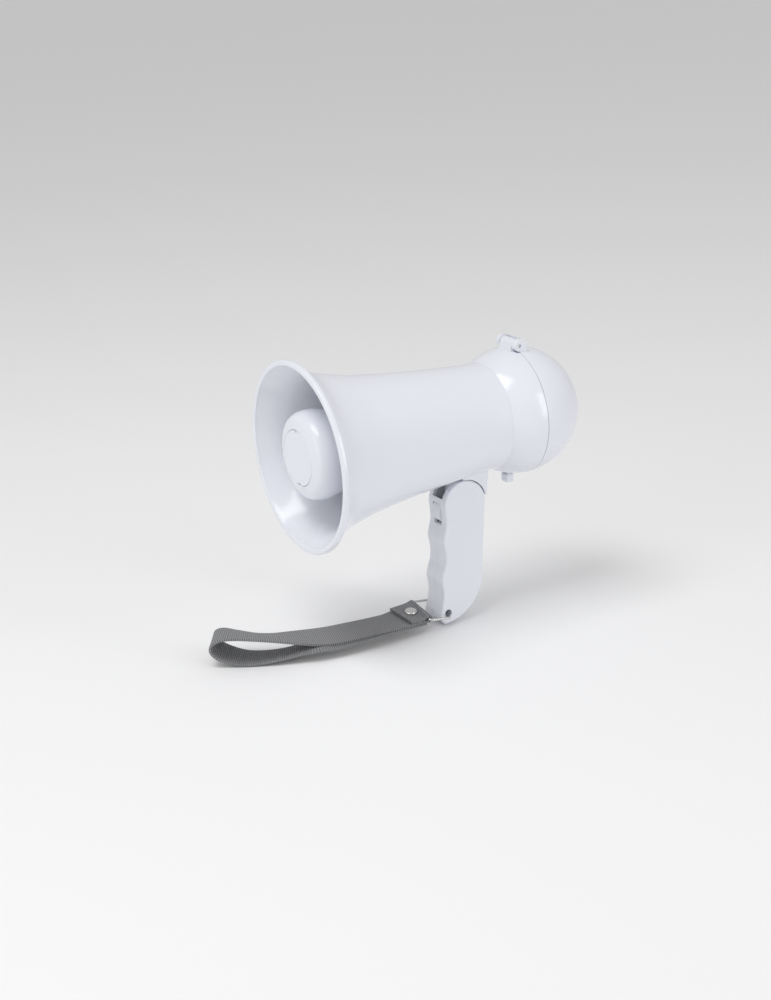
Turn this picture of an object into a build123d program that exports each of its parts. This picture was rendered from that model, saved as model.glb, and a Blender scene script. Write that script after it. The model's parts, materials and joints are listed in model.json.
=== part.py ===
"""Small handheld megaphone: flared horn, ball-shaped rear housing with a hinged cover, folding
pistol grip with a talk trigger, and a webbing wrist strap on a wire ring.

Everything is drawn from the centre of the horn's mouth: +X runs back along the horn's axis, +Z is
up, the grip hangs along -Z, and Y = 0 is the middle plane. place() then moves each piece so that
the origin is the middle of the hand grip. All sizes are in millimetres.
"""
from build123d import *
import os
from math import cos, radians, sin, sqrt

# ---- the frame ----
GRIP_MIDDLE = Vector(93.5, 0, -75)       # becomes the origin

# ---- horn ----
MOUTH_R = 52.5
LIP_BAND = 3.3                           # width of the rolled lip, seen from the front
LIP_ROUND = 1.1
HORN_L = 117.2
FLARE = [(12, 45.1), (22, 41.5), (36, 38.2), (55, 35.3), (80, 32.5), (104, 30.5)]
HORN_WALL = 2.15
NECK_R = 30.0
NECK_BORE_R = 28.1
LEDGE_X, LEDGE_T, LEDGE_R = 76.5, 2.0, 24.5   # inner ring that carries the loudspeaker

# ---- ball-shaped rear housing ----
BALL_X, BALL_R, BALL_WALL = 136.8, 35.75, 2.0
CASE_X = HORN_L + 0.05
SEAM_X, SEAM_GAP = 136.1, 0.3
SPIGOT_X, SPIGOT_R, SPIGOT_T = 109.0, 27.95, 2.0
BULKHEAD_X, BULKHEAD_T = 119.6, 1.6

# ---- cover hinge, on top of the seam ----
HINGE_X, HINGE_Z = 136.2, 38.2
HINGE_HALF = 9.5
TONGUE_HALF = 5.9
EAR_R = 3.7
HINGE_PIN_R = 1.0
FIT = 0.05                               # radial clearance of a turning fit

# ---- cover latch, under the seam ----
LATCH_X, LATCH_Z = 130.8, -31.8
LATCH_STUB_R = 0.9
LATCH_HALF = 2.4
LATCH_TAB = (128.4, 133.2, 3.0, -41.0, -36.2)   # x from, x to, half width, z from, z to
LATCH_ARM_X = 140.2
LATCH_STEM_X = (129.3, 132.3)
LATCH_SPLIT_Z = -33.0

MIC_HOLE_R = 0.8

# ---- reflector in the mouth ----
CAP_R, CAP_T, CAP_X = 15.2, 2.0, 0.5
NOTCH_R = 1.6
REFLECTOR_SKIN = 1.8
FIN_T, FIN_ANGLES = 2.0, (90, 210, 330)

# ---- grip ----
PIVOT_X, PIVOT_Z = 96.8, -44.8
GRIP_TOP_R = 13.25
GRIP_HALF = 9.0
GRIP_WALL = 2.0
GRIP_INSIDE_HALF = 7.2
FOOT_Z = -112.6
PIN_R = 2.0
TANG_HALF, TANG_R = 4.9, 5.0
TANG_X = (93.0, 101.8)
FOLD_MAX = 52.0                          # degrees from in use to folded under the horn
SLOT_HALF = 5.2
SCREW_SPOTS = [(104.0, -63.0), (99.0, -92.0), (86.5, -92.0)]
RING_HOLE_X, RING_HOLE_Z, RING_HOLE_R = 82.3, -106.3, 2.2
BRACKET_SCREW_X = 106.0

# ---- trigger ----
TRIGGER_HALF = 3.6
TRIGGER_TOP, TRIGGER_BOTTOM = -43.6, -53.6
TRIGGER_FACE_X = 82.9
FLANGE_X, FLANGE_T = 86.7, 1.4
TRIGGER_SLOT = (-55.9, -43.2)            # z from, z to

# ---- leads ----
LEAD_R = 0.6
BATTERY_LEAD_Y = 23.8

# ---- wrist ring and strap ----
WIRE_R = 0.7
RING_HALF = 11.6
RING_REACH = 13.6
RING_CORNER = 2.6
ROLL, PITCH = 8.5, 7.6                   # the ring lies tilted about X and a little about Y
WEB_W, WEB_T, WEB_STEP = 20.0, 1.3, 1.5  # webbing width, thickness and layer spacing
FOLD_R = 1.65                            # middle of the webbing where it goes round the ring
RIVET_X, RIVET_R, RIVET_SHANK_R = 62.6, 3.55, 1.3


def place(shape):
    """Move a finished piece from the mouth's centre to the part's own origin."""
    return Pos(-GRIP_MIDDLE.X, -GRIP_MIDDLE.Y, -GRIP_MIDDLE.Z) * shape


def save(name, *solids):
    """Write one node; several solids make a group of identical small pieces."""
    body = solids[0] if len(solids) == 1 else Compound(children=list(solids))
    export_step(place(body), f"parts/{name}.step")


def turned(*edges):
    """A solid turned about the horn's axis; the outline is drawn as (along X, radius)."""
    return revolve(Plane.XZ * make_face(edges), Axis.X)


def ring(x0, x1, r_in, r_out):
    """A plain turned ring, or a disc when r_in is 0."""
    return turned(Polyline((x0, r_in), (x1, r_in), (x1, r_out), (x0, r_out), close=True))


def box(x0, x1, y0, y1, z0, z1):
    """A box between two corners."""
    return Pos((x0 + x1) / 2, (y0 + y1) / 2, (z0 + z1) / 2) * Box(x1 - x0, y1 - y0, z1 - z0)


def rod_y(x, z, y0, y1, r):
    """A round bar along Y."""
    return Pos(x, (y0 + y1) / 2, z) * Rot(90, 0, 0) * Cylinder(r, y1 - y0)


def rod_x(x0, x1, y, z, r):
    """A round bar along X."""
    return Pos((x0 + x1) / 2, y, z) * Rot(0, 90, 0) * Cylinder(r, x1 - x0)


def rod_z(x, y, z0, z1, r):
    """A round bar along Z."""
    return Pos(x, y, (z0 + z1) / 2) * Cylinder(r, z1 - z0)


def slab_y(outline, y0, y1):
    """A side-view outline, drawn as (x, z), given its thickness along Y."""
    return Pos(0, y1, 0) * extrude(Plane.XZ * outline, y1 - y0)


def ball_r(x, sphere_r):
    """Radius of a sphere about the ball's centre where the plane at x cuts it."""
    return sqrt(sphere_r ** 2 - (x - BALL_X) ** 2)


def spots_round(radius, angles):
    """(y, z) places on a circle about the horn's axis."""
    return [(radius * cos(radians(a)), radius * sin(radians(a))) for a in angles]


# ------------------------------------------------------------------ horn and ball
def flare_inside():
    """Inner curve of the horn: the flare set in by the wall."""
    steep = [0.16, 0.13, 0.09, 0.05, 0.02, 0.03]
    return [(x, r - HORN_WALL - s) for (x, r), s in zip(FLARE, steep)]


def horn_shell():
    lip_in, c = MOUTH_R - LIP_BAND, LIP_ROUND
    outline = [
        Line((0, lip_in + c), (0, MOUTH_R - c)),
        CenterArc((c, MOUTH_R - c), c, 90, 90),
        Line((c, MOUTH_R), (2.2, MOUTH_R)),
        CenterArc((2.2, MOUTH_R - c), c, 0, 90),
        Spline((2.2 + c, MOUTH_R - c), *FLARE, (HORN_L, NECK_R)),
        Line((HORN_L, NECK_R), (HORN_L, NECK_BORE_R)),
        Spline((HORN_L, NECK_BORE_R), *reversed(flare_inside()), (c, lip_in)),
        CenterArc((c, lip_in + c), c, 180, 90),
    ]
    ledge = ring(LEDGE_X, LEDGE_X + LEDGE_T, LEDGE_R, 31.3)
    shell = turned(*outline) + ledge
    for y, z in speaker_screw_spots():
        shell -= rod_x(LEDGE_X - 1, LEDGE_X + LEDGE_T + 1, y, z, 1.05)
    for y in (-5, 5):
        shell -= rod_z(BRACKET_SCREW_X, y, -32, -26, 1.3)
    return shell


def rear_case():
    """Front half of the ball, with the spigot that plugs into the horn and a bulkhead behind it."""
    inner_r = BALL_R - BALL_WALL
    face_r, seam_r = ball_r(CASE_X, BALL_R), ball_r(SEAM_X, BALL_R)
    mid_x = (CASE_X + SEAM_X) / 2
    seam_in, foot_in = ball_r(SEAM_X, inner_r), ball_r(BULKHEAD_X, inner_r)
    case = turned(
        Line((SPIGOT_X, SPIGOT_R - SPIGOT_T), (SPIGOT_X, SPIGOT_R)),
        Line((SPIGOT_X, SPIGOT_R), (CASE_X, SPIGOT_R)),
        Line((CASE_X, SPIGOT_R), (CASE_X, face_r)),
        ThreePointArc((CASE_X, face_r), (mid_x, ball_r(mid_x, BALL_R)), (SEAM_X, seam_r)),
        Line((SEAM_X, seam_r), (SEAM_X, seam_in)),
        ThreePointArc((SEAM_X, seam_in), (128, ball_r(128, inner_r)), (BULKHEAD_X, foot_in)),
        Line((BULKHEAD_X, foot_in), (BULKHEAD_X, SPIGOT_R - SPIGOT_T)),
        Line((BULKHEAD_X, SPIGOT_R - SPIGOT_T), (SPIGOT_X, SPIGOT_R - SPIGOT_T)),
    )
    case += ring(BULKHEAD_X, BULKHEAD_X + BULKHEAD_T, 0, foot_in + 0.6)
    for y, z in board_screw_spots():
        case += rod_x(114.2, BULKHEAD_X + 0.5, y, z, 2.2)
        case -= rod_x(113, BULKHEAD_X + 0.4, y, z, 1.05)
    for y in (-BATTERY_LEAD_Y, BATTERY_LEAD_Y):
        case -= rod_x(BULKHEAD_X - 1, BULKHEAD_X + 3, y, 5.45, 1.2)
    # hinge tongue on top, standing on the ball just in front of the seam
    tongue = slab_y(make_face(Polyline((131.4, 32.5), (133.3, 39.2), (HINGE_X, 40.2),
                                       (HINGE_X, 34.6), (SEAM_X, 32.5), close=True)),
                    -TONGUE_HALF, TONGUE_HALF)
    tongue += rod_y(HINGE_X, HINGE_Z, -TONGUE_HALF, TONGUE_HALF, 3.1)
    case += tongue - turned_ball(inner_r + 0.2)
    case -= rod_y(HINGE_X, HINGE_Z, -20, 20, HINGE_PIN_R + FIT)
    # clearance under the cover's two ears
    for side in (-1, 1):
        case -= rod_y(HINGE_X, HINGE_Z, side * 7.85 - 1.95, side * 7.85 + 1.95, EAR_R + 0.25)
    # latch: slot in the wall and two cheeks that carry its stub axles
    for side in (-1, 1):
        cheek = box(128.4, 133.2, side * 3.75 - 0.8, side * 3.75 + 0.8, -34.6, -30.0)
        case += cheek & turned_ball(inner_r + 0.8)
    case -= rod_y(LATCH_X, LATCH_Z, -4.0, 4.0, LATCH_STUB_R + FIT)
    case -= box(128.0, 133.7, -2.7, 2.7, -37, -30)
    return case


def turned_ball(r):
    """A full ball about the housing's centre."""
    return Pos(BALL_X, 0, 0) * Sphere(r)


def rear_cover():
    """Back half of the ball, with microphone holes, hinge ears and the latch's catch bar."""
    inner_r, start, hole = BALL_R - BALL_WALL, SEAM_X + SEAM_GAP, MIC_HOLE_R
    pole_out, pole_in = (BALL_X + sqrt(r ** 2 - hole ** 2) for r in (BALL_R, inner_r))
    slant = sqrt(0.5)
    cover = turned(
        Line((start, ball_r(start, inner_r)), (start, ball_r(start, BALL_R))),
        ThreePointArc((start, ball_r(start, BALL_R)),
                      (BALL_X + BALL_R * slant, BALL_R * slant), (pole_out, hole)),
        Line((pole_out, hole), (pole_in, hole)),
        ThreePointArc((pole_in, hole), (BALL_X + inner_r * slant, inner_r * slant),
                      (start, ball_r(start, inner_r))),
    )
    # ring that holds the microphone's sleeve
    cover += ring(163.5, 170.9, 6.5, 7.8)
    for radius, count in ((3.0, 6), (5.2, 12)):
        for y, z in spots_round(radius, [360 / count * i for i in range(count)]):
            cover -= rod_x(168, 174, y, z, hole)
    # hinge ears, joined over the back of the tongue by a bridge
    ear_outline = make_face(Polyline((HINGE_X - 1.2, HINGE_Z - 3.0), (HINGE_X - 3.4, HINGE_Z),
                                     (HINGE_X - 1.6, HINGE_Z + 3.1), (HINGE_X + 1.4, HINGE_Z + 3.6),
                                     (HINGE_X + 4.4, HINGE_Z + 0.8), (141.6, 35.0), (140, 32.5),
                                     (HINGE_X + 0.6, 34.6), close=True))
    ears = slab_y(ear_outline, -HINGE_HALF, HINGE_HALF)
    ears -= slab_y(ear_outline, -TONGUE_HALF - 0.25, TONGUE_HALF + 0.25) & box(
        120, HINGE_X + 3.35, -10, 10, 30, 45)
    ears = ears - turned_ball(inner_r + 0.3)
    cover += ears
    cover -= rod_y(HINGE_X, HINGE_Z, -TONGUE_HALF - 0.25, TONGUE_HALF + 0.25, 3.35)
    cover -= rod_y(HINGE_X, HINGE_Z, -12, 12, HINGE_PIN_R)
    # catch bar for the latch, on two cheeks
    catch = box(137.3, 138.6, -4.8, 4.8, -29.6, -27.0)
    for side in (-1, 1):
        catch += box(136.7, 138.6, side * 4.1 - 0.7, side * 4.1 + 0.7, -34.5, -27.0)
    cover += catch
    return cover


def cover_hinge_pin():
    return rod_y(HINGE_X, HINGE_Z, -HINGE_HALF + 0.6, HINGE_HALF - 0.6, HINGE_PIN_R)


def cover_latch():
    """Outer half of the rocking latch: finger tab and the stem through the case's slot."""
    x0, x1, half, z0, z1 = LATCH_TAB
    tab = box(x0, x1, -half, half, z0, z1)
    tab = fillet(tab.edges().filter_by(Axis.Y).group_by(Axis.Z)[0], 0.8)
    return tab + box(*LATCH_STEM_X, -LATCH_HALF, LATCH_HALF, z1 - 0.5, LATCH_SPLIT_Z)


def latch_arm():
    """Inner half of the latch, welded on the stem: stub axles, arm and the nose that holds the cover."""
    root = box(*LATCH_STEM_X, -LATCH_HALF, LATCH_HALF, LATCH_SPLIT_Z, -30.6)
    arm = box(131.0, LATCH_ARM_X, -LATCH_HALF, LATCH_HALF, -31.8, -30.6)
    nose = box(LATCH_ARM_X - 1.2, LATCH_ARM_X, -LATCH_HALF, LATCH_HALF, -31.8, -29.85)
    return root + arm + nose + rod_y(LATCH_X, LATCH_Z, -3.9, 3.9, LATCH_STUB_R)


def latch_spring():
    """Short spring between the case wall and the latch's arm, as a plain sleeve."""
    return rod_z(134.6, 0, -33.55, -31.85, 1.1) - rod_z(134.6, 0, -34, -31, 0.7)


# ------------------------------------------------------------------ reflector
def bulb(skin):
    """The reflector's outline turned solid, set in by the given skin."""
    front = 4.0 if skin else 0.6
    return turned(
        Spline((front, 16.2), (3.4 + skin, 22.4 - skin), (12, 24.4 - skin), (26, 20.6 - skin),
               (41, 13.2 - skin), (52 - skin, 6.0 - skin / 2), (54.5 - skin, 0)),
        Line((54.5 - skin, 0), (front, 0)),
        Line((front, 0), (front, 16.2)),
    )


def reflector():
    """Hollow bulb behind the round cap, held in the horn by three fins."""
    hollow = bulb(REFLECTOR_SKIN)
    body = bulb(0) - hollow - ring(0, CAP_X + CAP_T, 0, CAP_R + 0.15) - ring(0, 8, 0, 13.4)
    inside = turned(
        Line((30, 9), (48, 9)), Line((48, 9), (48, 33.85)),
        Spline((48, 33.85), (36, 35.6), (30, 36.7)), Line((30, 36.7), (30, 9)))
    for angle in FIN_ANGLES:
        fin = Rot(angle - 90, 0, 0) * box(30, 48, -FIN_T / 2, FIN_T / 2, 11, 40)
        body += (fin & inside) - hollow
    return body


def reflector_cap():
    """Round cap in the reflector's face, with two thumbnail notches in its edge."""
    cap = ring(CAP_X, CAP_X + CAP_T - 0.05, 0, CAP_R)
    cap = chamfer(cap.edges().filter_by(GeomType.CIRCLE).group_by(Axis.X)[0], 0.3)
    for side in (-1, 1):
        cap -= rod_x(0, 1.4, 0, side * CAP_R, NOTCH_R)
    return cap


# ------------------------------------------------------------------ loudspeaker
def speaker_screw_spots():
    return spots_round(27.0, (45, 135, 225, 315))


def speaker_frame():
    """Pressed basket behind the ledge."""
    front = LEDGE_X + LEDGE_T + 1.0
    basket = turned(Polyline((front, 22.5), (front, 29.4), (front + 1.4, 29.4), (front + 1.4, 25.6),
                             (96.0, 17.0), (97.2, 17.0), (97.2, 8.0), (96.0, 8.0), (96.0, 15.6),
                             (front + 1.2, 23.6), close=True))
    for y, z in speaker_screw_spots():
        basket -= rod_x(front - 1, front + 3, y, z, 1.25)
    return basket


def speaker_gasket():
    start = LEDGE_X + LEDGE_T
    gasket = ring(start, start + 1.0, LEDGE_R, 29.4)
    for y, z in speaker_screw_spots():
        gasket -= rod_x(start - 1, start + 2, y, z, 1.25)
    return gasket


def speaker_cone():
    return turned(Polyline((82.2, 22.2), (82.2, 21.6), (83.2, 20.2), (93.0, 7.4), (93.6, 7.9),
                           (83.8, 20.8), (83.2, 22.2), close=True))


def speaker_dust_cap():
    return turned(Line((92.4, 0), (90.2, 0)),
                  ThreePointArc((90.2, 0), (90.7, 4.0), (92.4, 7.3)),
                  Line((92.4, 7.3), (92.9, 6.9)),
                  Line((92.9, 6.9), (92.4, 0)))


def speaker_magnet():
    return ring(97.25, 104.6, 0, 15.0)


def panel_screw(x_seat, x_end, y, z, shank_r, head_r, head_t):
    """Round-headed screw along X, head to the rear of its seat."""
    return rod_x(x_end, x_seat, y, z, shank_r) + rod_x(x_seat, x_seat + head_t, y, z, head_r)


def speaker_screws():
    seat = LEDGE_X + LEDGE_T + 2.4
    return [panel_screw(seat, LEDGE_X + 0.3, y, z, 1.0, 1.35, 1.2)
            for y, z in speaker_screw_spots()]


# ------------------------------------------------------------------ electronics
def board_screw_spots():
    return spots_round(20.5, (90, 210, 330))


def circuit_board():
    board = ring(112.5, 114.1, 0, 25.0)
    for y, z in board_screw_spots():
        board -= rod_x(112, 115, y, z, 1.3)
    return board


def board_screws():
    screws = []
    for y, z in board_screw_spots():
        screws.append(rod_x(112.5, 118.4, y, z, 1.0) + rod_x(111.3, 112.5, y, z, 2.0))
    return screws


def amplifier_chip():
    return box(110.2, 112.45, -5, 5, -12, -4)


def capacitors():
    return [rod_x(105.2, 112.45, y, z, 3.0) for y, z in spots_round(20.5, (30, 150))] + [
        rod_x(106.0, 112.45, 0, -20.5, 2.4)]


def battery_tray():
    """Open-backed tray for four small cells lying across the housing."""
    tray = box(121.25, 145.6, -26.4, 26.4, -12.1, 12.1)
    tray = fillet(tray.edges().filter_by(Axis.X), 3.0)
    tray -= box(122.5, 150, -25.2, 25.2, -10.95, 10.95)
    for y in (-BATTERY_LEAD_Y, BATTERY_LEAD_Y):
        tray -= rod_x(120, 124, y, 5.45, 0.8)
    return tray


def battery_cells():
    cells = []
    for x in (128.0, 138.8):
        for z in (-5.45, 5.45):
            cells.append(rod_y(x, z, -22.0, 21.6, 5.25) + rod_y(x, z, 21.6, 22.4, 1.9))
    return cells


def battery_contacts():
    """One end plate for each cell at each end."""
    plates = []
    for x in (128.0, 138.8):
        for z in (-5.45, 5.45):
            for y0, y1 in ((-25.1, -22.1), (22.5, 25.1)):
                plates.append(rod_y(x, z, y0, y1, 3.4))
    return plates


def microphone_sleeve():
    return ring(164.0, 169.2, 4.9, 6.4)


def microphone():
    return ring(164.6, 169.0, 0, 4.8)


# ------------------------------------------------------------------ bracket and grip
def grip_outline():
    """Side view of the grip: round top, straight back, heavy round heel, finger scallops in front."""
    heel_start = (106.3, -82.0)
    face = make_face([
        ThreePointArc((PIVOT_X + GRIP_TOP_R, PIVOT_Z), (PIVOT_X, PIVOT_Z + GRIP_TOP_R),
                      (PIVOT_X - GRIP_TOP_R, PIVOT_Z)),
        Line((PIVOT_X - GRIP_TOP_R, PIVOT_Z), (84.3, -54.5)),
        Line((84.3, -54.5), (81.7, -64.2)),
        ThreePointArc((81.7, -64.2), (82.6, -75.4), (79.2, -86.8)),
        ThreePointArc((79.2, -86.8), (79.8, -96.8), (77.2, -107.0)),
        Line((77.2, -107.0), (78.6, FOOT_Z)),
        Line((78.6, FOOT_Z), (83.0, FOOT_Z)),
        ThreePointArc((83.0, FOOT_Z), (99.6, -103.6), heel_start),
        Line(heel_start, (PIVOT_X + GRIP_TOP_R, PIVOT_Z)),
    ])
    soften = [v for v in face.vertices()
              if v.X < 84.5 and -112 < v.Y < PIVOT_Z - 5 or (v.X < 80 and v.Y < -112)]
    return fillet(soften, 1.9)


def grip_blank():
    return fillet(
        [e for e in slab_y(grip_outline(), -GRIP_HALF, GRIP_HALF).edges()
         if abs(abs(e.center().Y) - GRIP_HALF) < 0.01], 1.5)


def grip_hollow():
    inner = offset(grip_outline(), amount=-GRIP_WALL, kind=Kind.INTERSECTION)
    return slab_y(inner, -GRIP_INSIDE_HALF, GRIP_INSIDE_HALF)


def fold_slot():
    """Room in the grip's round top for the bracket's tang, from the grip in use to the grip folded."""
    px, pz, reach, room = PIVOT_X, PIVOT_Z, GRIP_TOP_R + 4, 0.4
    front, back = TANG_X[0] - room - px, TANG_X[1] + room - px
    way = radians(90 + FOLD_MAX)

    def folded(out, side):
        """A point beside the folded tang, so far out from the pivot and so far to its front."""
        return px + out * cos(way) - side * sin(way), pz + out * sin(way) + side * cos(way)

    swept = make_face(Polyline(
        (px + back, pz), (px + back, pz + reach), (px, pz + reach), folded(reach, 0),
        folded(reach, -front), folded(0, -front), close=True))
    return slab_y(swept, -SLOT_HALF, SLOT_HALF) + rod_y(px, pz, -SLOT_HALF, SLOT_HALF, TANG_R + room)


def grip_shells():
    """Left and right halves, with pivot bosses, screw posts, switch wall and ring boss."""
    blank = grip_blank()
    whole = blank - grip_hollow()
    for side in (-1, 1):
        boss = rod_y(PIVOT_X, PIVOT_Z, min(side * SLOT_HALF, side * 7.6),
                     max(side * SLOT_HALF, side * 7.6), 4.4)
        whole += boss
    for x, z in SCREW_SPOTS:
        whole += rod_y(x, z, -7.6, 7.6, 3.1)
    whole += rod_y(RING_HOLE_X, RING_HOLE_Z, -8, 8, 4.4) & blank
    whole -= fold_slot()
    whole -= rod_y(PIVOT_X, PIVOT_Z, -7.0, 7.0, PIN_R + FIT)
    whole -= rod_y(RING_HOLE_X, RING_HOLE_Z, -10, 10, RING_HOLE_R)
    whole -= box(80, 89, -3.8, 3.8, *TRIGGER_SLOT)
    for x, z in SCREW_SPOTS:
        whole -= rod_y(x, z, -6.4, 3.0, 1.05)
        whole -= rod_y(x, z, 0, 3.1, 1.3)
        whole -= rod_y(x, z, 3.0, 10, 2.4)
    right = whole & box(60, 130, -12, 0, -120, -20)
    left = whole & box(60, 130, 0.02, 12, -120, -20)
    # wall behind the switch and the spring's seat, both standing on the right-hand shell
    right += box(97.0, 98.4, -7.4, -0.4, -59.5, -50.9)
    right += box(93.2, 94.4, -7.4, -0.4, -63.4, -59.6)
    return right, left


def handle_bracket():
    """Block under the barrel: flush with the grip's back, hollowed for its round top, with a tang."""
    gap = GRIP_TOP_R + 0.5
    block = slab_y(make_face(Polyline((96.4, -26), (112.9, -26), (111.0, -42.2), (96.4, -42.2),
                                      close=True)), -GRIP_HALF, GRIP_HALF)
    block -= rod_y(PIVOT_X, PIVOT_Z, -20, 20, gap)
    tang = slab_y(make_face(Polyline(
        (TANG_X[0], -26), (TANG_X[1], -26), (TANG_X[1], PIVOT_Z), (TANG_X[0], PIVOT_Z), close=True)), -TANG_HALF, TANG_HALF)
    tang += rod_y(PIVOT_X, PIVOT_Z, -TANG_HALF, TANG_HALF, TANG_R)
    bracket = block + tang
    barrel = turned(Polyline((85, 0), (85, 32.15), (104, 30.55), (HORN_L, 30.06), (HORN_L, 0),
                             close=True))
    bracket -= barrel
    bracket -= rod_y(PIVOT_X, PIVOT_Z, -10, 10, PIN_R + FIT)
    for y in (-5, 5):
        bracket -= rod_z(BRACKET_SCREW_X, y, -33.7, -20, 1.15)
    return bracket


def bracket_screws():
    """Two screws from inside the barrel down into the bracket."""
    return [rod_z(BRACKET_SCREW_X, y, -33.5, -27.1, 1.1)
            + rod_z(BRACKET_SCREW_X, y, -27.1, -25.7, 2.2) for y in (-5, 5)]


def handle_pivot():
    return rod_y(PIVOT_X, PIVOT_Z, -6.9, 6.9, PIN_R)


def handle_screws():
    return [rod_y(x, z, -6.2, 3.02, 1.0) + rod_y(x, z, 3.02, 4.6, 2.2) for x, z in SCREW_SPOTS]


def trigger():
    """Finger bar in the front slot, on a flange that keeps it in the grip."""
    top, low = TRIGGER_TOP, TRIGGER_BOTTOM
    face = make_face([
        Line((FLANGE_X + 0.5, top), (84.4, top)),
        Spline((84.4, top), (TRIGGER_FACE_X, -47.5), (TRIGGER_FACE_X + 0.1, -51.5), (84.2, low)),
        Line((84.2, low), (FLANGE_X + 0.5, low)),
        Line((FLANGE_X + 0.5, low), (FLANGE_X + 0.5, top)),
    ])
    bar = slab_y(face, -TRIGGER_HALF, TRIGGER_HALF)
    flange = box(FLANGE_X, FLANGE_X + FLANGE_T, -5, 5, -63.0, -45.0)
    return bar + flange


def trigger_spring():
    """Coil spring behind the trigger's flange, as a plain sleeve."""
    x0, x1 = FLANGE_X + FLANGE_T + 0.05, 93.15
    return rod_x(x0, x1, -2.4, -61.4, 1.5) - rod_x(x0 - 1, x1 + 1, -2.4, -61.4, 1.1)


def trigger_switch():
    return box(90.8, 96.95, -3.2, 3.2, -58.8, -50.9) + rod_x(89.5, 90.9, 0, -55.5, 1.1)


# ------------------------------------------------------------------ ring and strap
def rolled(shape):
    """Tilt a piece drawn level about the ring hole's middle: far side up, front up."""
    return Pos(RING_HOLE_X, 0, RING_HOLE_Z) * Rot(ROLL, 0, 0) * Rot(0, PITCH, 0) * shape


def wrist_ring():
    """Wire ring bent to a rounded rectangle, one side of it through the grip's foot."""
    h, reach, c = RING_HALF, RING_REACH, RING_CORNER
    b = 2.2                                  # bend radius next to the foot
    inset = 1 - sqrt(0.5)
    path = Wire([
        Line((0, 0), (0, h - b)),
        ThreePointArc((0, h - b), (-b * inset, h - b * inset), (-b, h)),
        Line((-b, h), (-reach + c, h)),
        ThreePointArc((-reach + c, h), (-reach + c * inset, h - c * inset), (-reach, h - c)),
        Line((-reach, h - c), (-reach, 0)),
    ])
    half = sweep(Plane.XZ * Circle(WIRE_R), path=path)
    return rolled(half + mirror(half, about=Plane.XZ))


# The strap's upper run from the rivet out to the loop's end: middle of the webbing, then the
# heading of its width from +Y towards +X and its tilt (far edge up), both in degrees, and last
# how far the run below is shifted sideways under it.
UPPER_RUN = [
    (62.0, -0.8, -105.4, 0, 8.5, 0.0), (55.5, -1.6, -105.3, 2, 6.0, 0.0),
    (49.0, -2.4, -105.2, 5, 3.5, -0.2), (40.0, -1.9, -105.1, 6, 3.5, -0.6),
    (31.6, -0.9, -105.3, 7, 4.5, -1.4), (23.0, 0.6, -105.6, 10, 6.0, -2.4),
    (14.0, 2.3, -105.8, 13, 6.5, -3.4), (5.6, 4.4, -105.3, 16, 4.5, -4.2),
]
OUTER_LOOP = [
    (-2.8, 6.9, -104.2, 18, -0.5), (-10.7, 9.6, -103.1, 21, -6.0), (-18.0, 12.7, -102.2, 26, -10.7),
    (-26.0, 16.5, -100.9, 30, -12.0), (-34.8, 21.5, -99.2, 32, -8.5), (-41.2, 25.3, -98.6, 32, -2.5),
    (-45.2, 27.8, -100.6, 33, 2.0), (-45.6, 28.0, -104.2, 34, 3.5), (-42.8, 26.3, -107.8, 36, 3.5),
    (-38.2, 23.5, -110.6, 36.5, 2.5), (-31.8, 19.4, -112.7, 36, 0.0), (-24.2, 14.6, -113.0, 33, -2.5),
    (-16.5, 10.2, -112.2, 30, -5.0), (-8.8, 6.4, -110.9, 27, -6.0), (-2.2, 3.4, -109.0, 22, -3.5),
]


def width_way(heading, tilt):
    """Unit vector along the webbing's width."""
    h, t = radians(heading), radians(tilt)
    return Vector(sin(h) * cos(t), cos(h) * cos(t), sin(t))


def stacked(station, layers):
    """A station on a run lying some layers above (+) or below (-) the upper run."""
    x, y, z, heading, tilt, shift = station
    across = width_way(heading, tilt)
    up = Vector(1, 0, 0).cross(across).normalized()
    middle = Vector(x, y, z) + up * (layers * WEB_STEP)
    if layers < 0:
        middle += across * shift
    return middle, across


def strap_stations():
    """Middle and width direction all along the strip: lower run, loop, upper run, fold, flap."""
    across = width_way(0, ROLL)
    up = Vector(1, 0, 0).cross(across).normalized()
    bar = (Pos(RING_HOLE_X, 0, RING_HOLE_Z) * Rot(ROLL, 0, 0) * Rot(0, PITCH, 0)
           * Pos(-RING_REACH, 0, 0)).position
    near_bar = bar + Vector(-2.6, 0, 0) - up * (FOLD_R - 0.4)
    under = [(near_bar - up * WEB_STEP, across)]
    under += [stacked(s, -1) for s in UPPER_RUN]
    outer = [(Vector(x, y, z), width_way(h, t)) for x, y, z, h, t in reversed(OUTER_LOOP)]
    upper = [stacked(s, 0) for s in reversed(UPPER_RUN)]
    fold = [(near_bar, across)]
    for a in (-90, -55, -20, 20, 55, 90):
        fold.append((bar + Vector(FOLD_R * cos(radians(a)), 0, 0) + up * (FOLD_R * sin(radians(a))),
                     across))
    fold.append((bar + Vector(-2.8, 0, 0) + up * (FOLD_R - 0.85), across))
    flap = [stacked(s, 1) for s in UPPER_RUN[:2]]
    end, end_across = flap.pop()
    flap.append((end + up * 0.3, end_across))
    return under + outer + upper + fold + flap


def smooth(points, steps):
    """Points on a smooth curve through the given ones, with a number of steps between each two."""
    ends = [points[0] * 2 - points[1]] + points + [points[-1] * 2 - points[-2]]
    out = []
    for a, b, c, d in zip(ends, ends[1:], ends[2:], ends[3:]):
        for i in range(steps):
            t = i / steps
            out.append((b * 2 + (c - a) * t + (a * 2 - b * 5 + c * 4 - d) * t ** 2
                        + (b * 3 - a - c * 3 + d) * t ** 3) * 0.5)
    return out + [points[-1]]


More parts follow.
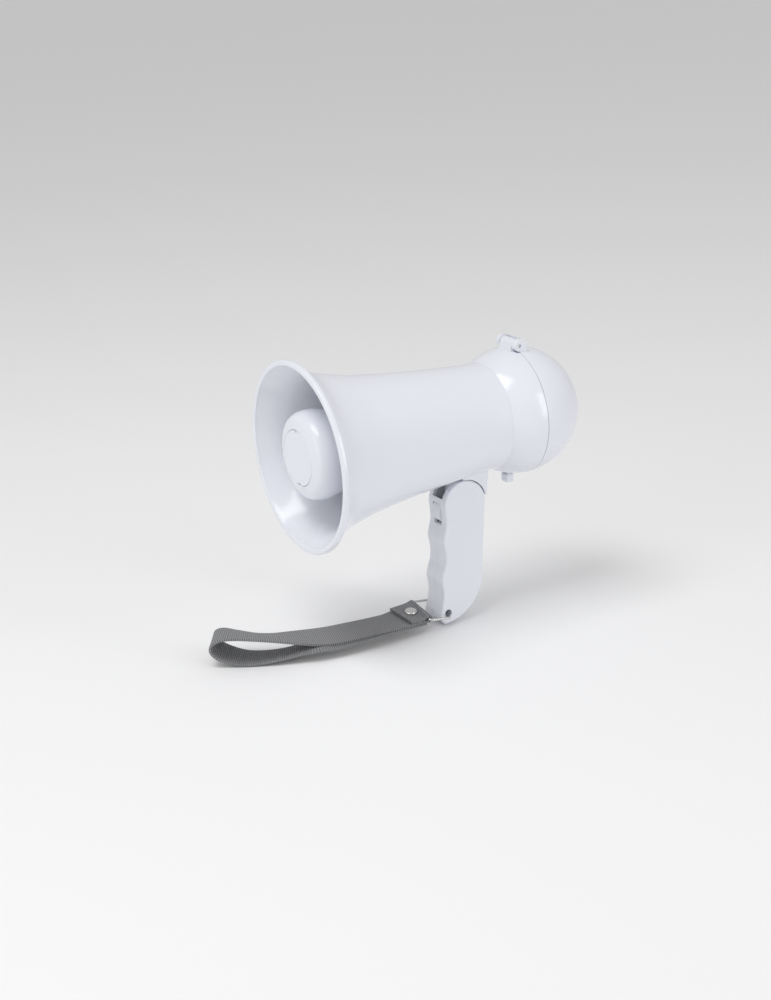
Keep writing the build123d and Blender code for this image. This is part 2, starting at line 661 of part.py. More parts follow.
def wrist_strap():
    """One strip of webbing, laid as a flat loop, folded round the ring and riveted to itself."""
    stations = strap_stations()
    middles = smooth([m for m, _ in stations], 2)
    widths = smooth([w for _, w in stations], 2)
    sections = []
    last = len(middles) - 1
    for i, (middle, width) in enumerate(zip(middles, widths)):
        along = (middles[min(i + 1, last)] - middles[max(i - 1, 0)]).normalized()
        across = (width - along * width.dot(along)).normalized() * (WEB_W / 2)
        thick = along.cross(across).normalized() * (WEB_T / 2)
        corners = [middle - across - thick, middle + across - thick,
                   middle + across + thick, middle - across + thick]
        sections.append(Wire.make_polygon(corners))
    strap = Part() + Solid.make_loft(sections, ruled=True)
    strap -= rivet_frame() * Cylinder(RIVET_SHANK_R + 0.1, 12)
    return strap.solids().sort_by(SortBy.VOLUME)[-1]


def rivet_frame():
    """Placement of the rivet: middle of the upper run, axis square to the webbing."""
    x, y, z, heading, tilt, _ = UPPER_RUN[0]
    across = width_way(heading, tilt)
    up = Vector(1, 0, 0).cross(across).normalized()
    return Plane(origin=Vector(RIVET_X, y, z), x_dir=(1, 0, 0), z_dir=up).location


def strap_rivet():
    """Domed cap and shank through the three layers."""
    top, sphere_r = 1.5 * WEB_STEP + 0.15, 4.2
    cap = Pos(0, 0, top + 1.9 - sphere_r) * Sphere(sphere_r)
    cap &= Pos(0, 0, top + 1.5) * Cylinder(RIVET_R, 3.0)
    shank = Cylinder(RIVET_SHANK_R, 2 * top + 0.4)
    return rivet_frame() * (cap + shank)


def strap_washer():
    """Flat washer under the lower layer."""
    low = -1.5 * WEB_STEP
    return rivet_frame() * (Pos(0, 0, low - 0.6) * (Cylinder(RIVET_R, 0.5)
                                                  - Cylinder(RIVET_SHANK_R + 0.02, 2)))


# ------------------------------------------------------------------ wiring inside the housing
def lead(*points):
    """A round lead along a smooth line."""
    line = Spline(*points) if len(points) > 2 else Line(*points)
    return sweep(Plane(line @ 0, z_dir=line % 0) * Circle(LEAD_R), path=line)


def speaker_leads():
    return [lead((97.7, y, 16.6), (100.5, y, 18.6), (106.0, y * 1.5, 18.0), (111.9, y * 2, 14.3))
            for y in (-3, 3)]


def battery_leads():
    return [rod_x(114.15, 124.5, y, 5.45, LEAD_R) for y in (-BATTERY_LEAD_Y, BATTERY_LEAD_Y)]


def main():
    os.makedirs("parts", exist_ok=True)
    save("horn_shell", horn_shell())
    save("rear_case", rear_case())
    save("rear_cover", rear_cover())
    save("cover_hinge_pin", cover_hinge_pin())
    save("cover_latch", cover_latch())
    save("latch_arm", latch_arm())
    save("latch_spring", latch_spring())
    save("reflector", reflector())
    save("reflector_cap", reflector_cap())
    save("speaker_frame", speaker_frame())
    save("speaker_gasket", speaker_gasket())
    save("speaker_cone", speaker_cone())
    save("speaker_dust_cap", speaker_dust_cap())
    save("speaker_magnet", speaker_magnet())
    save("speaker_screws", *speaker_screws())
    save("circuit_board", circuit_board())
    save("board_screws", *board_screws())
    save("amplifier_chip", amplifier_chip())
    save("capacitors", *capacitors())
    save("battery_tray", battery_tray())
    save("battery_cells", *battery_cells())
    save("battery_contacts", *battery_contacts())
    save("microphone_sleeve", microphone_sleeve())
    save("microphone", microphone())
    save("handle_bracket", handle_bracket())
    save("bracket_screws", *bracket_screws())
    right, left = grip_shells()
    save("handle_right", right)
    save("handle_left", left)
    save("handle_pivot", handle_pivot())
    save("handle_screws", *handle_screws())
    save("trigger", trigger())
    save("trigger_spring", trigger_spring())
    save("trigger_switch", trigger_switch())
    save("wrist_ring", wrist_ring())
    save("wrist_strap", wrist_strap())
    save("strap_rivet", strap_rivet())
    save("strap_washer", strap_washer())
    save("speaker_leads", *speaker_leads())
    save("battery_leads", *battery_leads())


if __name__ == "__main__":
    main()
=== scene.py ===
"""Looks of a small handheld megaphone with a folding pistol grip and a webbing wrist strap.

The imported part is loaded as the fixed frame. What shows is modelled again here, smoother and with
rounded edges, and stands for its CAD nodes; the inner works stay as they are and get finishes.
Sizes are millimetres from the middle of the horn's mouth: X runs back along the horn, Z is up.
"""

import json
import logging
import math
from collections.abc import Callable, Iterable, Iterator, Sequence
from contextlib import contextmanager
from dataclasses import dataclass, field
from enum import Enum

import bmesh
import bpy
from bpy.types import Material, Node, NodeSocket, NodeTree, Object
from mathutils import Matrix, Vector

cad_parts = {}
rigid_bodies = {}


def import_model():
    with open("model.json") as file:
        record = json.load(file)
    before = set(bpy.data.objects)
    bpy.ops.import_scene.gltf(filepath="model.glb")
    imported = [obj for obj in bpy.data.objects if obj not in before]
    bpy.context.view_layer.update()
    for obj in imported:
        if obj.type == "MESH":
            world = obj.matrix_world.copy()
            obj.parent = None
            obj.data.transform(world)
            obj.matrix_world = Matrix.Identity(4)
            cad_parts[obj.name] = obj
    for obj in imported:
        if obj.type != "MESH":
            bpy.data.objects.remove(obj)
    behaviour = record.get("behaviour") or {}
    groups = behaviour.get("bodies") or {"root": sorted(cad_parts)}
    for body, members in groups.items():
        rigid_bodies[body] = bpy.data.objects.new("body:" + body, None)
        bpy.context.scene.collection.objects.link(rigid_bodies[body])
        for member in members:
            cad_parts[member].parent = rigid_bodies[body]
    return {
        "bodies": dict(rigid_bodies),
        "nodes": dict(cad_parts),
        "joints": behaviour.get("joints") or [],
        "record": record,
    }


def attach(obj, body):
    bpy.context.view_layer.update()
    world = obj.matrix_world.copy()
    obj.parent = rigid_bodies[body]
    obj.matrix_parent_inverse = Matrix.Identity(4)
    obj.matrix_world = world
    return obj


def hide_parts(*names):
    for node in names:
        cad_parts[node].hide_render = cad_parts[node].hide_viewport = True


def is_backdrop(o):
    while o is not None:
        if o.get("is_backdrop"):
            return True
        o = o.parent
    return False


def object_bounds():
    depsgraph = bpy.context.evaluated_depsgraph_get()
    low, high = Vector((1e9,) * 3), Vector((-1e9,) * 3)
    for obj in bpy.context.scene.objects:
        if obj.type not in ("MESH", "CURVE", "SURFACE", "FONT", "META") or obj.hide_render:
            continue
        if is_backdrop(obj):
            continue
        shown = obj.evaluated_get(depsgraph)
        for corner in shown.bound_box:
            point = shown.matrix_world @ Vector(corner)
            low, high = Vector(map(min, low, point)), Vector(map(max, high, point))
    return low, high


log = logging.getLogger("megaphone")

MM = 0.001
MOUTH = Vector((-93.5, 0.0, 75.0)) * MM
CLOSE = MM * 1e-3

Point2 = tuple[float, float]


def at(x: float, y: float, z: float) -> Vector:
    """A point given in millimetres from the mouth's middle, in the row frame and metres."""
    return MOUTH + Vector((x, y, z)) * MM


# ---------------------------------------------------------------------------------- drawing aids
def arc(middle: Point2, radius: float, start: float, end: float, steps: int) -> list[Point2]:
    """Points along a circular arc.

    Args:
        middle: The arc's centre.
        radius: Its radius.
        start: Angle of the first point in degrees.
        end: Angle of the last point in degrees.
        steps: How many equal steps lie between them.

    Returns:
        The points, both ends included.
    """
    turns = (math.radians(start + (end - start) * i / steps) for i in range(steps + 1))
    return [(middle[0] + radius * math.cos(t), middle[1] + radius * math.sin(t)) for t in turns]


def arc_through(a: Point2, b: Point2, c: Point2, steps: int) -> list[Point2]:
    """Points along the circular arc from a through b to c.

    Args:
        a: First end.
        b: A point in between.
        c: Other end.
        steps: How many equal steps lie between the ends.

    Returns:
        The points, both ends included.
    """
    (ax, ay), (bx, by), (cx, cy) = a, b, c
    d = 2 * (ax * (by - cy) + bx * (cy - ay) + cx * (ay - by))
    a2, b2, c2 = ax * ax + ay * ay, bx * bx + by * by, cx * cx + cy * cy
    middle = ((a2 * (by - cy) + b2 * (cy - ay) + c2 * (ay - by)) / d,
              (a2 * (cx - bx) + b2 * (ax - cx) + c2 * (bx - ax)) / d)
    ta, tb, tc = (math.atan2(p[1] - middle[1], p[0] - middle[0]) for p in (a, b, c))
    sweep = (tc - ta) % math.tau
    if (tb - ta) % math.tau > sweep:
        sweep -= math.tau
    radius = math.hypot(ax - middle[0], ay - middle[1])
    return arc(middle, radius, math.degrees(ta), math.degrees(ta + sweep), steps)


def curve_through(points: Sequence[Vector], steps: int) -> list[Vector]:
    """A smooth line through the given points.

    Args:
        points: Points of any number of dimensions.
        steps: How many steps lie between each two neighbours.

    Returns:
        The line's points, both ends included.
    """
    ends = [points[0] * 2 - points[1], *points, points[-1] * 2 - points[-2]]
    line: list[Vector] = []
    for a, b, c, d in zip(ends, ends[1:], ends[2:], ends[3:]):
        for i in range(steps):
            t = i / steps
            line.append((b * 2 + (c - a) * t + (a * 2 - b * 5 + c * 4 - d) * t ** 2
                         + (b * 3 - a - c * 3 + d) * t ** 3) * 0.5)
    return [*line, points[-1].copy()]


def flat_curve(points: Sequence[Point2], steps: int) -> list[Point2]:
    """A smooth line through flat points, as plain pairs."""
    return [(p.x, p.y) for p in curve_through([Vector(q) for q in points], steps)]


def inset(outline: Sequence[Point2], depth: float) -> list[Point2]:
    """A closed outline moved inwards.

    Args:
        outline: The corners in order, anticlockwise or clockwise.
        depth: How far each side moves in.

    Returns:
        As many corners, each moved along the middle of its two sides' normals.
    """
    area = sum(a[0] * b[1] - b[0] * a[1] for a, b in zip(outline, [*outline[1:], outline[0]]))
    side = 1.0 if area > 0 else -1.0
    moved: list[Point2] = []
    for i, p in enumerate(outline):
        q, r = Vector(outline[i - 1]), Vector(outline[(i + 1) % len(outline)])
        along = (r - q).normalized()
        moved.append((p[0] - side * along.y * depth, p[1] + side * along.x * depth))
    return moved


# ---------------------------------------------------------------------------------- modelling bench
class Pick(Enum):
    """What a selection in edit mode is made of."""

    VERTS = "VERT"
    EDGES = "EDGE"
    FACES = "FACE"


def deselect() -> None:
    """Leave nothing selected."""
    bpy.ops.object.select_all(action="DESELECT")


@contextmanager
def all_in_edit() -> Iterator[None]:
    """Edit mode on the active piece with all of it selected, and object mode again afterwards."""
    bpy.ops.object.mode_set(mode="EDIT")
    bpy.ops.mesh.select_all(action="SELECT")
    yield
    bpy.ops.object.mode_set(mode="OBJECT")


def take(piece: Object) -> None:
    """Make one piece the only selected and active one."""
    deselect()
    piece.select_set(True)
    bpy.context.view_layer.objects.active = piece


def pick(piece: Object, kind: Pick, test: Callable[[Vector], bool]) -> None:
    """Select the elements of a piece in edit mode whose middle passes a test.

    Args:
        piece: The piece being edited.
        kind: What to select.
        test: Says whether a middle point, in millimetres from the mouth, is wanted.
    """
    bpy.ops.mesh.select_mode(type=kind.value)
    bpy.ops.mesh.select_all(action="DESELECT")
    mesh = bmesh.from_edit_mesh(piece.data)
    for item in {Pick.VERTS: mesh.verts, Pick.EDGES: mesh.edges, Pick.FACES: mesh.faces}[kind]:
        if kind is Pick.VERTS:
            middle = item.co
        else:
            middle = sum((v.co for v in item.verts), Vector()) / len(item.verts)
        if test((middle - MOUTH) / MM):
            item.select_set(True)
    mesh.select_flush_mode()
    bmesh.update_edit_mesh(piece.data)


def drawn_line(name: str, points: Sequence[Vector]) -> Object:
    """A chain of edges, drawn point after point.

    Args:
        name: The new piece's name.
        points: The chain's points in the row frame, in metres.

    Returns:
        The piece, its object at the origin.
    """
    deselect()
    bpy.ops.mesh.primitive_plane_add(size=MM, location=(0, 0, 0))
    line = bpy.context.object
    line.name = line.data.name = name
    bpy.ops.object.mode_set(mode="EDIT")
    bpy.ops.mesh.select_mode(type="VERT")
    bpy.ops.mesh.select_all(action="SELECT")
    bpy.ops.mesh.merge(type="CENTER")
    bpy.ops.transform.translate(value=points[0])
    for a, b in zip(points, points[1:]):
        bpy.ops.mesh.extrude_vertices_move(TRANSFORM_OT_translate={"value": b - a})
    bpy.ops.object.mode_set(mode="OBJECT")
    return line


def turned(name: str, profile: Sequence[Point2], steps: int = 144) -> Object:
    """A piece turned about the horn's axis.

    Args:
        name: The new piece's name.
        profile: Closed outline as (along X, radius); ends that lie on the axis stay open.
        steps: How many faces go round.

    Returns:
        The closed piece.
    """
    points = [at(x, 0, r) for x, r in profile]
    if profile[0][1] > 0:
        points.append(points[0])
    piece = drawn_line(name, points)
    with all_in_edit():
        bpy.ops.mesh.remove_doubles(threshold=CLOSE)
        bpy.ops.mesh.spin(steps=steps, angle=math.tau, center=MOUTH, axis=(1, 0, 0))
        bpy.ops.mesh.select_all(action="SELECT")
        bpy.ops.mesh.remove_doubles(threshold=CLOSE * 10)
        bpy.ops.mesh.normals_make_consistent(inside=False)
    return piece


def slab(name: str, outline: Sequence[Point2], y0: float, y1: float, low_edge: float = 0.0,
         high_edge: float = 0.0) -> Object:
    """A side-view outline given its thickness across the object.

    Args:
        name: The new piece's name.
        outline: Corners as (x, z), in order.
        y0: Where the slab starts across the object.
        y1: Where it ends.
        low_edge: Rounding of the rim at y0.
        high_edge: Rounding of the rim at y1.

    Returns:
        The closed piece.
    """
    points = [at(x, y0, z) for x, z in outline]
    piece = drawn_line(name, [*points, points[0]])
    bpy.ops.object.mode_set(mode="EDIT")
    bpy.ops.mesh.select_all(action="SELECT")
    bpy.ops.mesh.remove_doubles(threshold=CLOSE)
    bpy.ops.mesh.select_all(action="SELECT")
    bpy.ops.mesh.edge_face_add()
    bpy.ops.mesh.extrude_region_move(TRANSFORM_OT_translate={"value": (0, (y1 - y0) * MM, 0)})
    bpy.ops.mesh.select_all(action="SELECT")
    bpy.ops.mesh.normals_make_consistent(inside=False)
    for y, edge in ((y0, low_edge), (y1, high_edge)):
        if edge:
            pick(piece, Pick.EDGES, lambda m, y=y: abs(m.y - y) < 1e-3)
            bpy.ops.mesh.bevel(offset=edge * MM, segments=5, affect="EDGES")
    bpy.ops.object.mode_set(mode="OBJECT")
    return piece


def block(x0: float, x1: float, y0: float, y1: float, z0: float, z1: float,
          edge: float = 0.0) -> Object:
    """A box between two corners, with rounded edges where an edge radius is given."""
    deselect()
    bpy.ops.mesh.primitive_cube_add(size=1, location=at((x0 + x1) / 2, (y0 + y1) / 2,
                                                        (z0 + z1) / 2))
    piece = bpy.context.object
    piece.scale = Vector((x1 - x0, y1 - y0, z1 - z0)) * MM
    bpy.ops.object.transform_apply(location=True, rotation=True, scale=True)
    if edge:
        with all_in_edit():
            bpy.ops.mesh.bevel(offset=edge * MM, segments=4, affect="EDGES")
    return piece


def rod(a: Vector, b: Vector, radius: float, steps: int = 48) -> Object:
    """A round bar between two points of the row frame; the radius is in millimetres."""
    deselect()
    way = b - a
    bpy.ops.mesh.primitive_cylinder_add(vertices=steps, radius=radius * MM, depth=way.length,
                                        location=(a + b) / 2,
                                        rotation=way.to_track_quat("Z", "Y").to_euler())
    bpy.ops.object.transform_apply(location=True, rotation=True, scale=True)
    return bpy.context.object


def rod_y(x: float, z: float, y0: float, y1: float, radius: float, steps: int = 48) -> Object:
    """A round bar across the object."""
    return rod(at(x, y0, z), at(x, y1, z), radius, steps)


def boolean(piece: Object, others: Iterable[Object], operation: str) -> Object:
    """Combine a piece with others, which are used up.

    Args:
        piece: The piece that stays.
        others: The pieces combined with it, one after another.
        operation: DIFFERENCE, UNION or INTERSECT.

    Returns:
        The same piece.
    """
    for other in others:
        take(piece)
        step = piece.modifiers.new("combine", "BOOLEAN")
        step.object, step.operation, step.solver = other, operation, "EXACT"
        bpy.ops.object.modifier_apply(modifier=step.name)
        bpy.data.meshes.remove(other.data)
    return piece


def cut(piece: Object, *cutters: Object) -> Object:
    """Take the cutters' room out of a piece."""
    return boolean(piece, cutters, "DIFFERENCE")


def fuse(piece: Object, *others: Object) -> Object:
    """Grow a piece by others."""
    return boolean(piece, others, "UNION")


def joined(name: str, pieces: Sequence[Object]) -> Object:
    """Several pieces made one object, as they are."""
    deselect()
    for piece in pieces:
        piece.select_set(True)
    bpy.context.view_layer.objects.active = pieces[0]
    bpy.ops.object.join()
    pieces[0].name = pieces[0].data.name = name
    return pieces[0]


def wire(name: str, path: Sequence[Vector], radius: float, closed: bool) -> Object:
    """A round wire along a path.

    Args:
        name: The new piece's name.
        path: The wire's middle, in the row frame.
        radius: Its radius in millimetres.
        closed: Whether the last point joins the first.

    Returns:
        The wire as a mesh.
    """
    line = drawn_line(name, [*path, path[0]] if closed else path)
    with all_in_edit():
        bpy.ops.mesh.remove_doubles(threshold=CLOSE)
    take(line)
    bpy.ops.object.convert(target="CURVE")
    curve = bpy.context.object
    curve.data.bevel_depth, curve.data.bevel_resolution = radius * MM, 6
    curve.data.use_fill_caps = True
    bpy.ops.object.convert(target="MESH")
    return bpy.context.object


def eased(piece: Object, width: float, angle: float = 50.0) -> Object:
    """Round a piece's sharp edges.

    Args:
        piece: The piece, cut and fused already.
        width: How far each edge is set back, in millimetres.
        angle: Only edges sharper than this are rounded, in degrees.

    Returns:
        The same piece.
    """
    take(piece)
    edge = piece.modifiers.new("eased", "BEVEL")
    edge.width, edge.segments, edge.limit_method = width * MM, 3, "ANGLE"
    edge.angle_limit, edge.use_clamp_overlap = math.radians(angle), True
    bpy.ops.object.modifier_apply(modifier=edge.name)
    return piece


def smoothed(piece: Object, angle: float = 32.0) -> Object:
    """Shade a piece smooth up to an angle, with flat faces kept flat.

    Args:
        piece: The finished piece.
        angle: Edges sharper than this stay sharp, in degrees.

    Returns:
        The same piece.
    """
    take(piece)
    bpy.ops.object.shade_smooth_by_angle(angle=math.radians(angle))
    weigh = piece.modifiers.new("weigh", "WEIGHTED_NORMAL")
    weigh.keep_sharp = True
    bpy.ops.object.modifier_apply(modifier=weigh.name)
    return piece


# ---------------------------------------------------------------------------------- finishes
class Wiring:
    """Adds nodes to one shader tree and joins them."""

    def __init__(self, tree: NodeTree) -> None:
        """Work on the given tree."""
        self.tree = tree

    def add(self, kind: str, inputs: dict[str | int, object] | None = None,
            **settings: object) -> Node:
        """Add a node.

        Args:
            kind: Blender's name for the node type.
            inputs: Values or sockets for its inputs, by name or place.
            settings: Its own settings.

        Returns:
            The new node.
        """
        node = self.tree.nodes.new(kind)
        for key, value in settings.items():
            setattr(node, key, value)
        for key, value in (inputs or {}).items():
            if isinstance(value, NodeSocket):
                self.tree.links.new(value, node.inputs[key])
            else:
                node.inputs[key].default_value = value
        return node

    def math(self, operation: str, a: object, b: object = 0.0) -> NodeSocket:
        """The result of one sum on two numbers or sockets."""
        return self.add("ShaderNodeMath", {0: a, 1: b}, operation=operation).outputs[0]

    def mix(self, share: object, a: object, b: object) -> NodeSocket:
        """A colour between a and b."""
        node = self.add("ShaderNodeMix", data_type="RGBA")
        for name, value in (("Factor", share), ("A", a), ("B", b)):
            kind = "VALUE" if name == "Factor" else "RGBA"
            socket = next(s for s in node.inputs if s.name == name and s.type == kind)
            if isinstance(value, NodeSocket):
                self.tree.links.new(value, socket)
            else:
                socket.default_value = value
        return next(s for s in node.outputs if s.type == "RGBA")

    def spread(self, value: object, low: float, high: float) -> NodeSocket:
        """A value from 0 to 1 spread between two others."""
        return self.add("ShaderNodeMapRange", {0: value, 3: low, 4: high}).outputs[0]


def new_group(name: str, inputs: dict[str, float], outputs: dict[str, str]) -> tuple[
        NodeTree, Wiring, Node, Node]:
    """An empty shader node group with its sockets.

    Args:
        name: The group's name.
        inputs: Number inputs and their usual values.
        outputs: Output names and socket types.

    Returns:
        The group, a wiring for it, and its input and output nodes.
    """
    group = bpy.data.node_groups.new(name, "ShaderNodeTree")
    for label, value in inputs.items():
        socket = group.interface.new_socket(label, in_out="INPUT", socket_type="NodeSocketFloat")
        socket.default_value = value
    for label, kind in outputs.items():
        group.interface.new_socket(label, in_out="OUTPUT", socket_type=kind)
    wiring = Wiring(group)
    return group, wiring, wiring.add("NodeGroupInput"), wiring.add("NodeGroupOutput")


class Effects:
    """Shader node groups that several finishes share, each built once."""

    def __init__(self) -> None:
        """Build every group."""
        self.grain = self._grain()
        self.handling = self._handling()
        self.scratches = self._scratches()

    @staticmethod
    def _grain() -> NodeTree:
        """Fine moulded grain as a normal: a slow ripple with a fine pitted skin on it."""
        group, wiring, given, out = new_group(
            "moulded_grain", {"Scale": 900.0, "Height": 0.02, "Ripple": 0.1},
            {"Normal": "NodeSocketVector"})
        place = wiring.add("ShaderNodeTexCoord").outputs["Object"]
        fine = wiring.add("ShaderNodeTexNoise", {"Vector": place, "Scale": given.outputs["Scale"],
                                                 "Detail": 3.0})
        slow = wiring.add("ShaderNodeTexNoise", {"Vector": place, "Scale": 45.0, "Detail": 1.0})
        ripple = wiring.math("MULTIPLY", slow.outputs[0], given.outputs["Ripple"])
        height = wiring.math("ADD", wiring.math("MULTIPLY", fine.outputs[0],
                                                given.outputs["Height"]), ripple)
        bump = wiring.add("ShaderNodeBump", {"Height": height, "Strength": 0.5,
                                             "Distance": 0.001})
        wiring.tree.links.new(bump.outputs[0], out.inputs["Normal"])
        return group

    @staticmethod
    def _handling() -> NodeTree:
        """Soft uneven patches where hands have been, from 0 to 1."""
        group, wiring, given, out = new_group(
            "handling", {"Scale": 22.0, "Sharpness": 0.25}, {"Mask": "NodeSocketFloat"})
        place = wiring.add("ShaderNodeTexCoord").outputs["Object"]
        broad = wiring.add("ShaderNodeTexNoise", {"Vector": place, "Scale": given.outputs["Scale"],
                                                  "Detail": 4.0, "Roughness": 0.6})
        low = wiring.math("SUBTRACT", 0.5, given.outputs["Sharpness"])
        high = wiring.math("ADD", 0.5, given.outputs["Sharpness"])
        mask = wiring.add("ShaderNodeMapRange", {0: broad.outputs[0], 1: low, 2: high})
        wiring.tree.links.new(mask.outputs[0], out.inputs["Mask"])
        return group

    @staticmethod
    def _scratches() -> NodeTree:
        """Hairline scratches of metal that has been rubbed, from 0 to 1."""
        group, wiring, given, out = new_group(
            "hairlines", {"Scale": 300.0, "Stretch": 14.0}, {"Mask": "NodeSocketFloat"})
        place = wiring.add("ShaderNodeTexCoord").outputs["Object"]
        parts = wiring.add("ShaderNodeSeparateXYZ", {0: place})
        drawn = wiring.add("ShaderNodeCombineXYZ", {
            0: wiring.math("DIVIDE", parts.outputs[0], given.outputs["Stretch"]),
            1: parts.outputs[1], 2: parts.outputs[2]})
        noise = wiring.add("ShaderNodeTexNoise", {"Vector": drawn.outputs[0],
                                                  "Scale": given.outputs["Scale"], "Detail": 5.0})
        wiring.tree.links.new(noise.outputs[0], out.inputs["Mask"])
        return group


def shader_of(name: str) -> tuple[Material, Wiring, Node]:
    """A new material with its wiring and its shader."""
    material = bpy.data.materials.new(name)
    material.use_nodes = True
    shader = next(n for n in material.node_tree.nodes if n.type == "BSDF_PRINCIPLED")
    return material, Wiring(material.node_tree), shader


@dataclass(frozen=True)
class MouldedPlastic:
    """Moulded plastic or rubber: soft colour patches, uneven polish and a fine skin."""

    name: str
    colour: tuple[float, float, float]
    roughness: float
    worn: float = 0.92
    grain: float = 0.02
    ripple: float = 0.1
    coat: float = 0.0

    def build(self, effects: Effects) -> Material:
        """Make the material."""
        material, wiring, shader = shader_of(self.name)
        patches = wiring.add("ShaderNodeGroup", node_tree=effects.handling).outputs["Mask"]
        clean = (*self.colour, 1.0)
        rubbed = (*(c * self.worn for c in self.colour), 1.0)
        links = material.node_tree.links
        links.new(wiring.mix(patches, clean, rubbed), shader.inputs["Base Color"])
        links.new(wiring.spread(patches, self.roughness * 0.85, self.roughness * 1.2),
                  shader.inputs["Roughness"])
        skin = wiring.add("ShaderNodeGroup", node_tree=effects.grain)
        skin.inputs["Height"].default_value = self.grain
        skin.inputs["Ripple"].default_value = self.ripple
        links.new(skin.outputs["Normal"], shader.inputs["Normal"])
        shader.inputs["Coat Weight"].default_value = self.coat
        shader.inputs["Coat Roughness"].default_value = 0.06
        return material


@dataclass(frozen=True)
class PlatedMetal:
    """Plated or plain metal with hairline scratches and dull patches."""

    name: str
    colour: tuple[float, float, float]
    roughness: float
    metallic: float = 1.0

    def build(self, effects: Effects) -> Material:
        """Make the material."""
        material, wiring, shader = shader_of(self.name)
        lines = wiring.add("ShaderNodeGroup", node_tree=effects.scratches).outputs["Mask"]
        patches = wiring.add("ShaderNodeGroup", node_tree=effects.handling).outputs["Mask"]
        links = material.node_tree.links
        dull = (*(c * 0.8 for c in self.colour), 1.0)
        links.new(wiring.mix(patches, (*self.colour, 1.0), dull), shader.inputs["Base Color"])
        links.new(wiring.spread(lines, self.roughness * 0.6, self.roughness * 1.5),
                  shader.inputs["Roughness"])
        shader.inputs["Metallic"].default_value = self.metallic
        bump = wiring.add("ShaderNodeBump", {"Height": lines, "Strength": 0.12,
                                             "Distance": 0.0002})
        links.new(bump.outputs[0], shader.inputs["Normal"])
        return material


@dataclass(frozen=True)
class Webbing:
    """Ribbed nylon webbing with painted shade in its rib grooves and a painted highlight on the rib
    crests; its pattern follows the strip's own map, measured in metres.
    """

    name: str
    colour: tuple[float, float, float]
    rib: float = 1.15 * MM
    yarn: float = 0.8 * MM

    def build(self, effects: Effects) -> Material:
        """Make the material."""
        material, wiring, shader = shader_of(self.name)
        links = material.node_tree.links
        strip = wiring.add("ShaderNodeUVMap", uv_map="strip").outputs[0]
        parts = wiring.add("ShaderNodeSeparateXYZ", {0: strip})
        along, across = parts.outputs[0], parts.outputs[1]
        wobble = wiring.add("ShaderNodeTexNoise", {"Vector": strip, "Scale": 160.0, "Detail": 2.0})
        drift = wiring.math("MULTIPLY", wiring.math("SUBTRACT", wobble.outputs[0], 0.5), 0.0005)
        turn = wiring.math("MULTIPLY", wiring.math("ADD", along, drift), math.tau / self.rib)
        ribs = wiring.math("MULTIPLY_ADD", wiring.math("SINE", turn), 0.5)
        ribs.node.inputs[2].default_value = 0.5
        weft = wiring.math("SINE", wiring.math("MULTIPLY", across, math.tau / self.yarn))
        offset = wiring.math("ADD", turn, wiring.math("MULTIPLY", weft, 0.9))
        threads = wiring.math("MULTIPLY_ADD", wiring.math("SINE", offset), 0.5)
        threads.node.inputs[2].default_value = 0.5
        height = wiring.math("ADD", wiring.math("MULTIPLY", ribs, 0.45),
                             wiring.math("MULTIPLY", threads, 0.55))
        fuzz = wiring.add("ShaderNodeTexNoise", {"Vector": strip, "Scale": 5200.0, "Detail": 2.0})
        patches = wiring.add("ShaderNodeGroup", node_tree=effects.handling)
        patches.inputs["Scale"].default_value = 60.0
        # Painted shade and highlight: the colour is darkened in the rib grooves and lightened on the
        # rib crests, following the rib height.
        groove_shade = (*(c * 0.42 for c in self.colour), 1.0)
        crest_highlight = (*(min(1.0, c * 1.35) for c in self.colour), 1.0)
        painted_rib_shading = wiring.mix(height, groove_shade, crest_highlight)
        grey = (*(c * 1.1 for c in self.colour), 1.0)
        share = wiring.math("MULTIPLY", patches.outputs["Mask"], 0.25)
        links.new(wiring.mix(share, painted_rib_shading, grey), shader.inputs["Base Color"])
        links.new(wiring.spread(fuzz.outputs[0], 0.62, 0.92), shader.inputs["Roughness"])
        relief = wiring.math("ADD", height, wiring.math("MULTIPLY", fuzz.outputs[0], 0.25))
        bump = wiring.add("ShaderNodeBump", {"Height": relief, "Strength": 0.8,
                                             "Distance": 0.00035})
        links.new(bump.outputs[0], shader.inputs["Normal"])
        shader.inputs["Sheen Weight"].default_value = 0.25
        shader.inputs["Sheen Roughness"].default_value = 0.4
        return material


@dataclass(frozen=True)
class BoardLaminate:
    """Green board with paler copper runs under its lacquer."""

    name: str
    colour: tuple[float, float, float] = (0.015, 0.12, 0.045)
    runs: tuple[float, float, float] = (0.03, 0.22, 0.08)

    def build(self, effects: Effects) -> Material:
        """Make the material."""
        material, wiring, shader = shader_of(self.name)
        links = material.node_tree.links
        place = wiring.add("ShaderNodeTexCoord").outputs["Object"]
        cells = wiring.add("ShaderNodeTexVoronoi", {"Vector": place, "Scale": 220.0},
                           distance="MANHATTAN")
        edge = wiring.math("GREATER_THAN", cells.outputs["Distance"], 0.55)
        links.new(wiring.mix(edge, (*self.colour, 1.0), (*self.runs, 1.0)),
                  shader.inputs["Base Color"])
        patches = wiring.add("ShaderNodeGroup", node_tree=effects.handling).outputs["Mask"]
        links.new(wiring.spread(patches, 0.25, 0.45), shader.inputs["Roughness"])
        return material


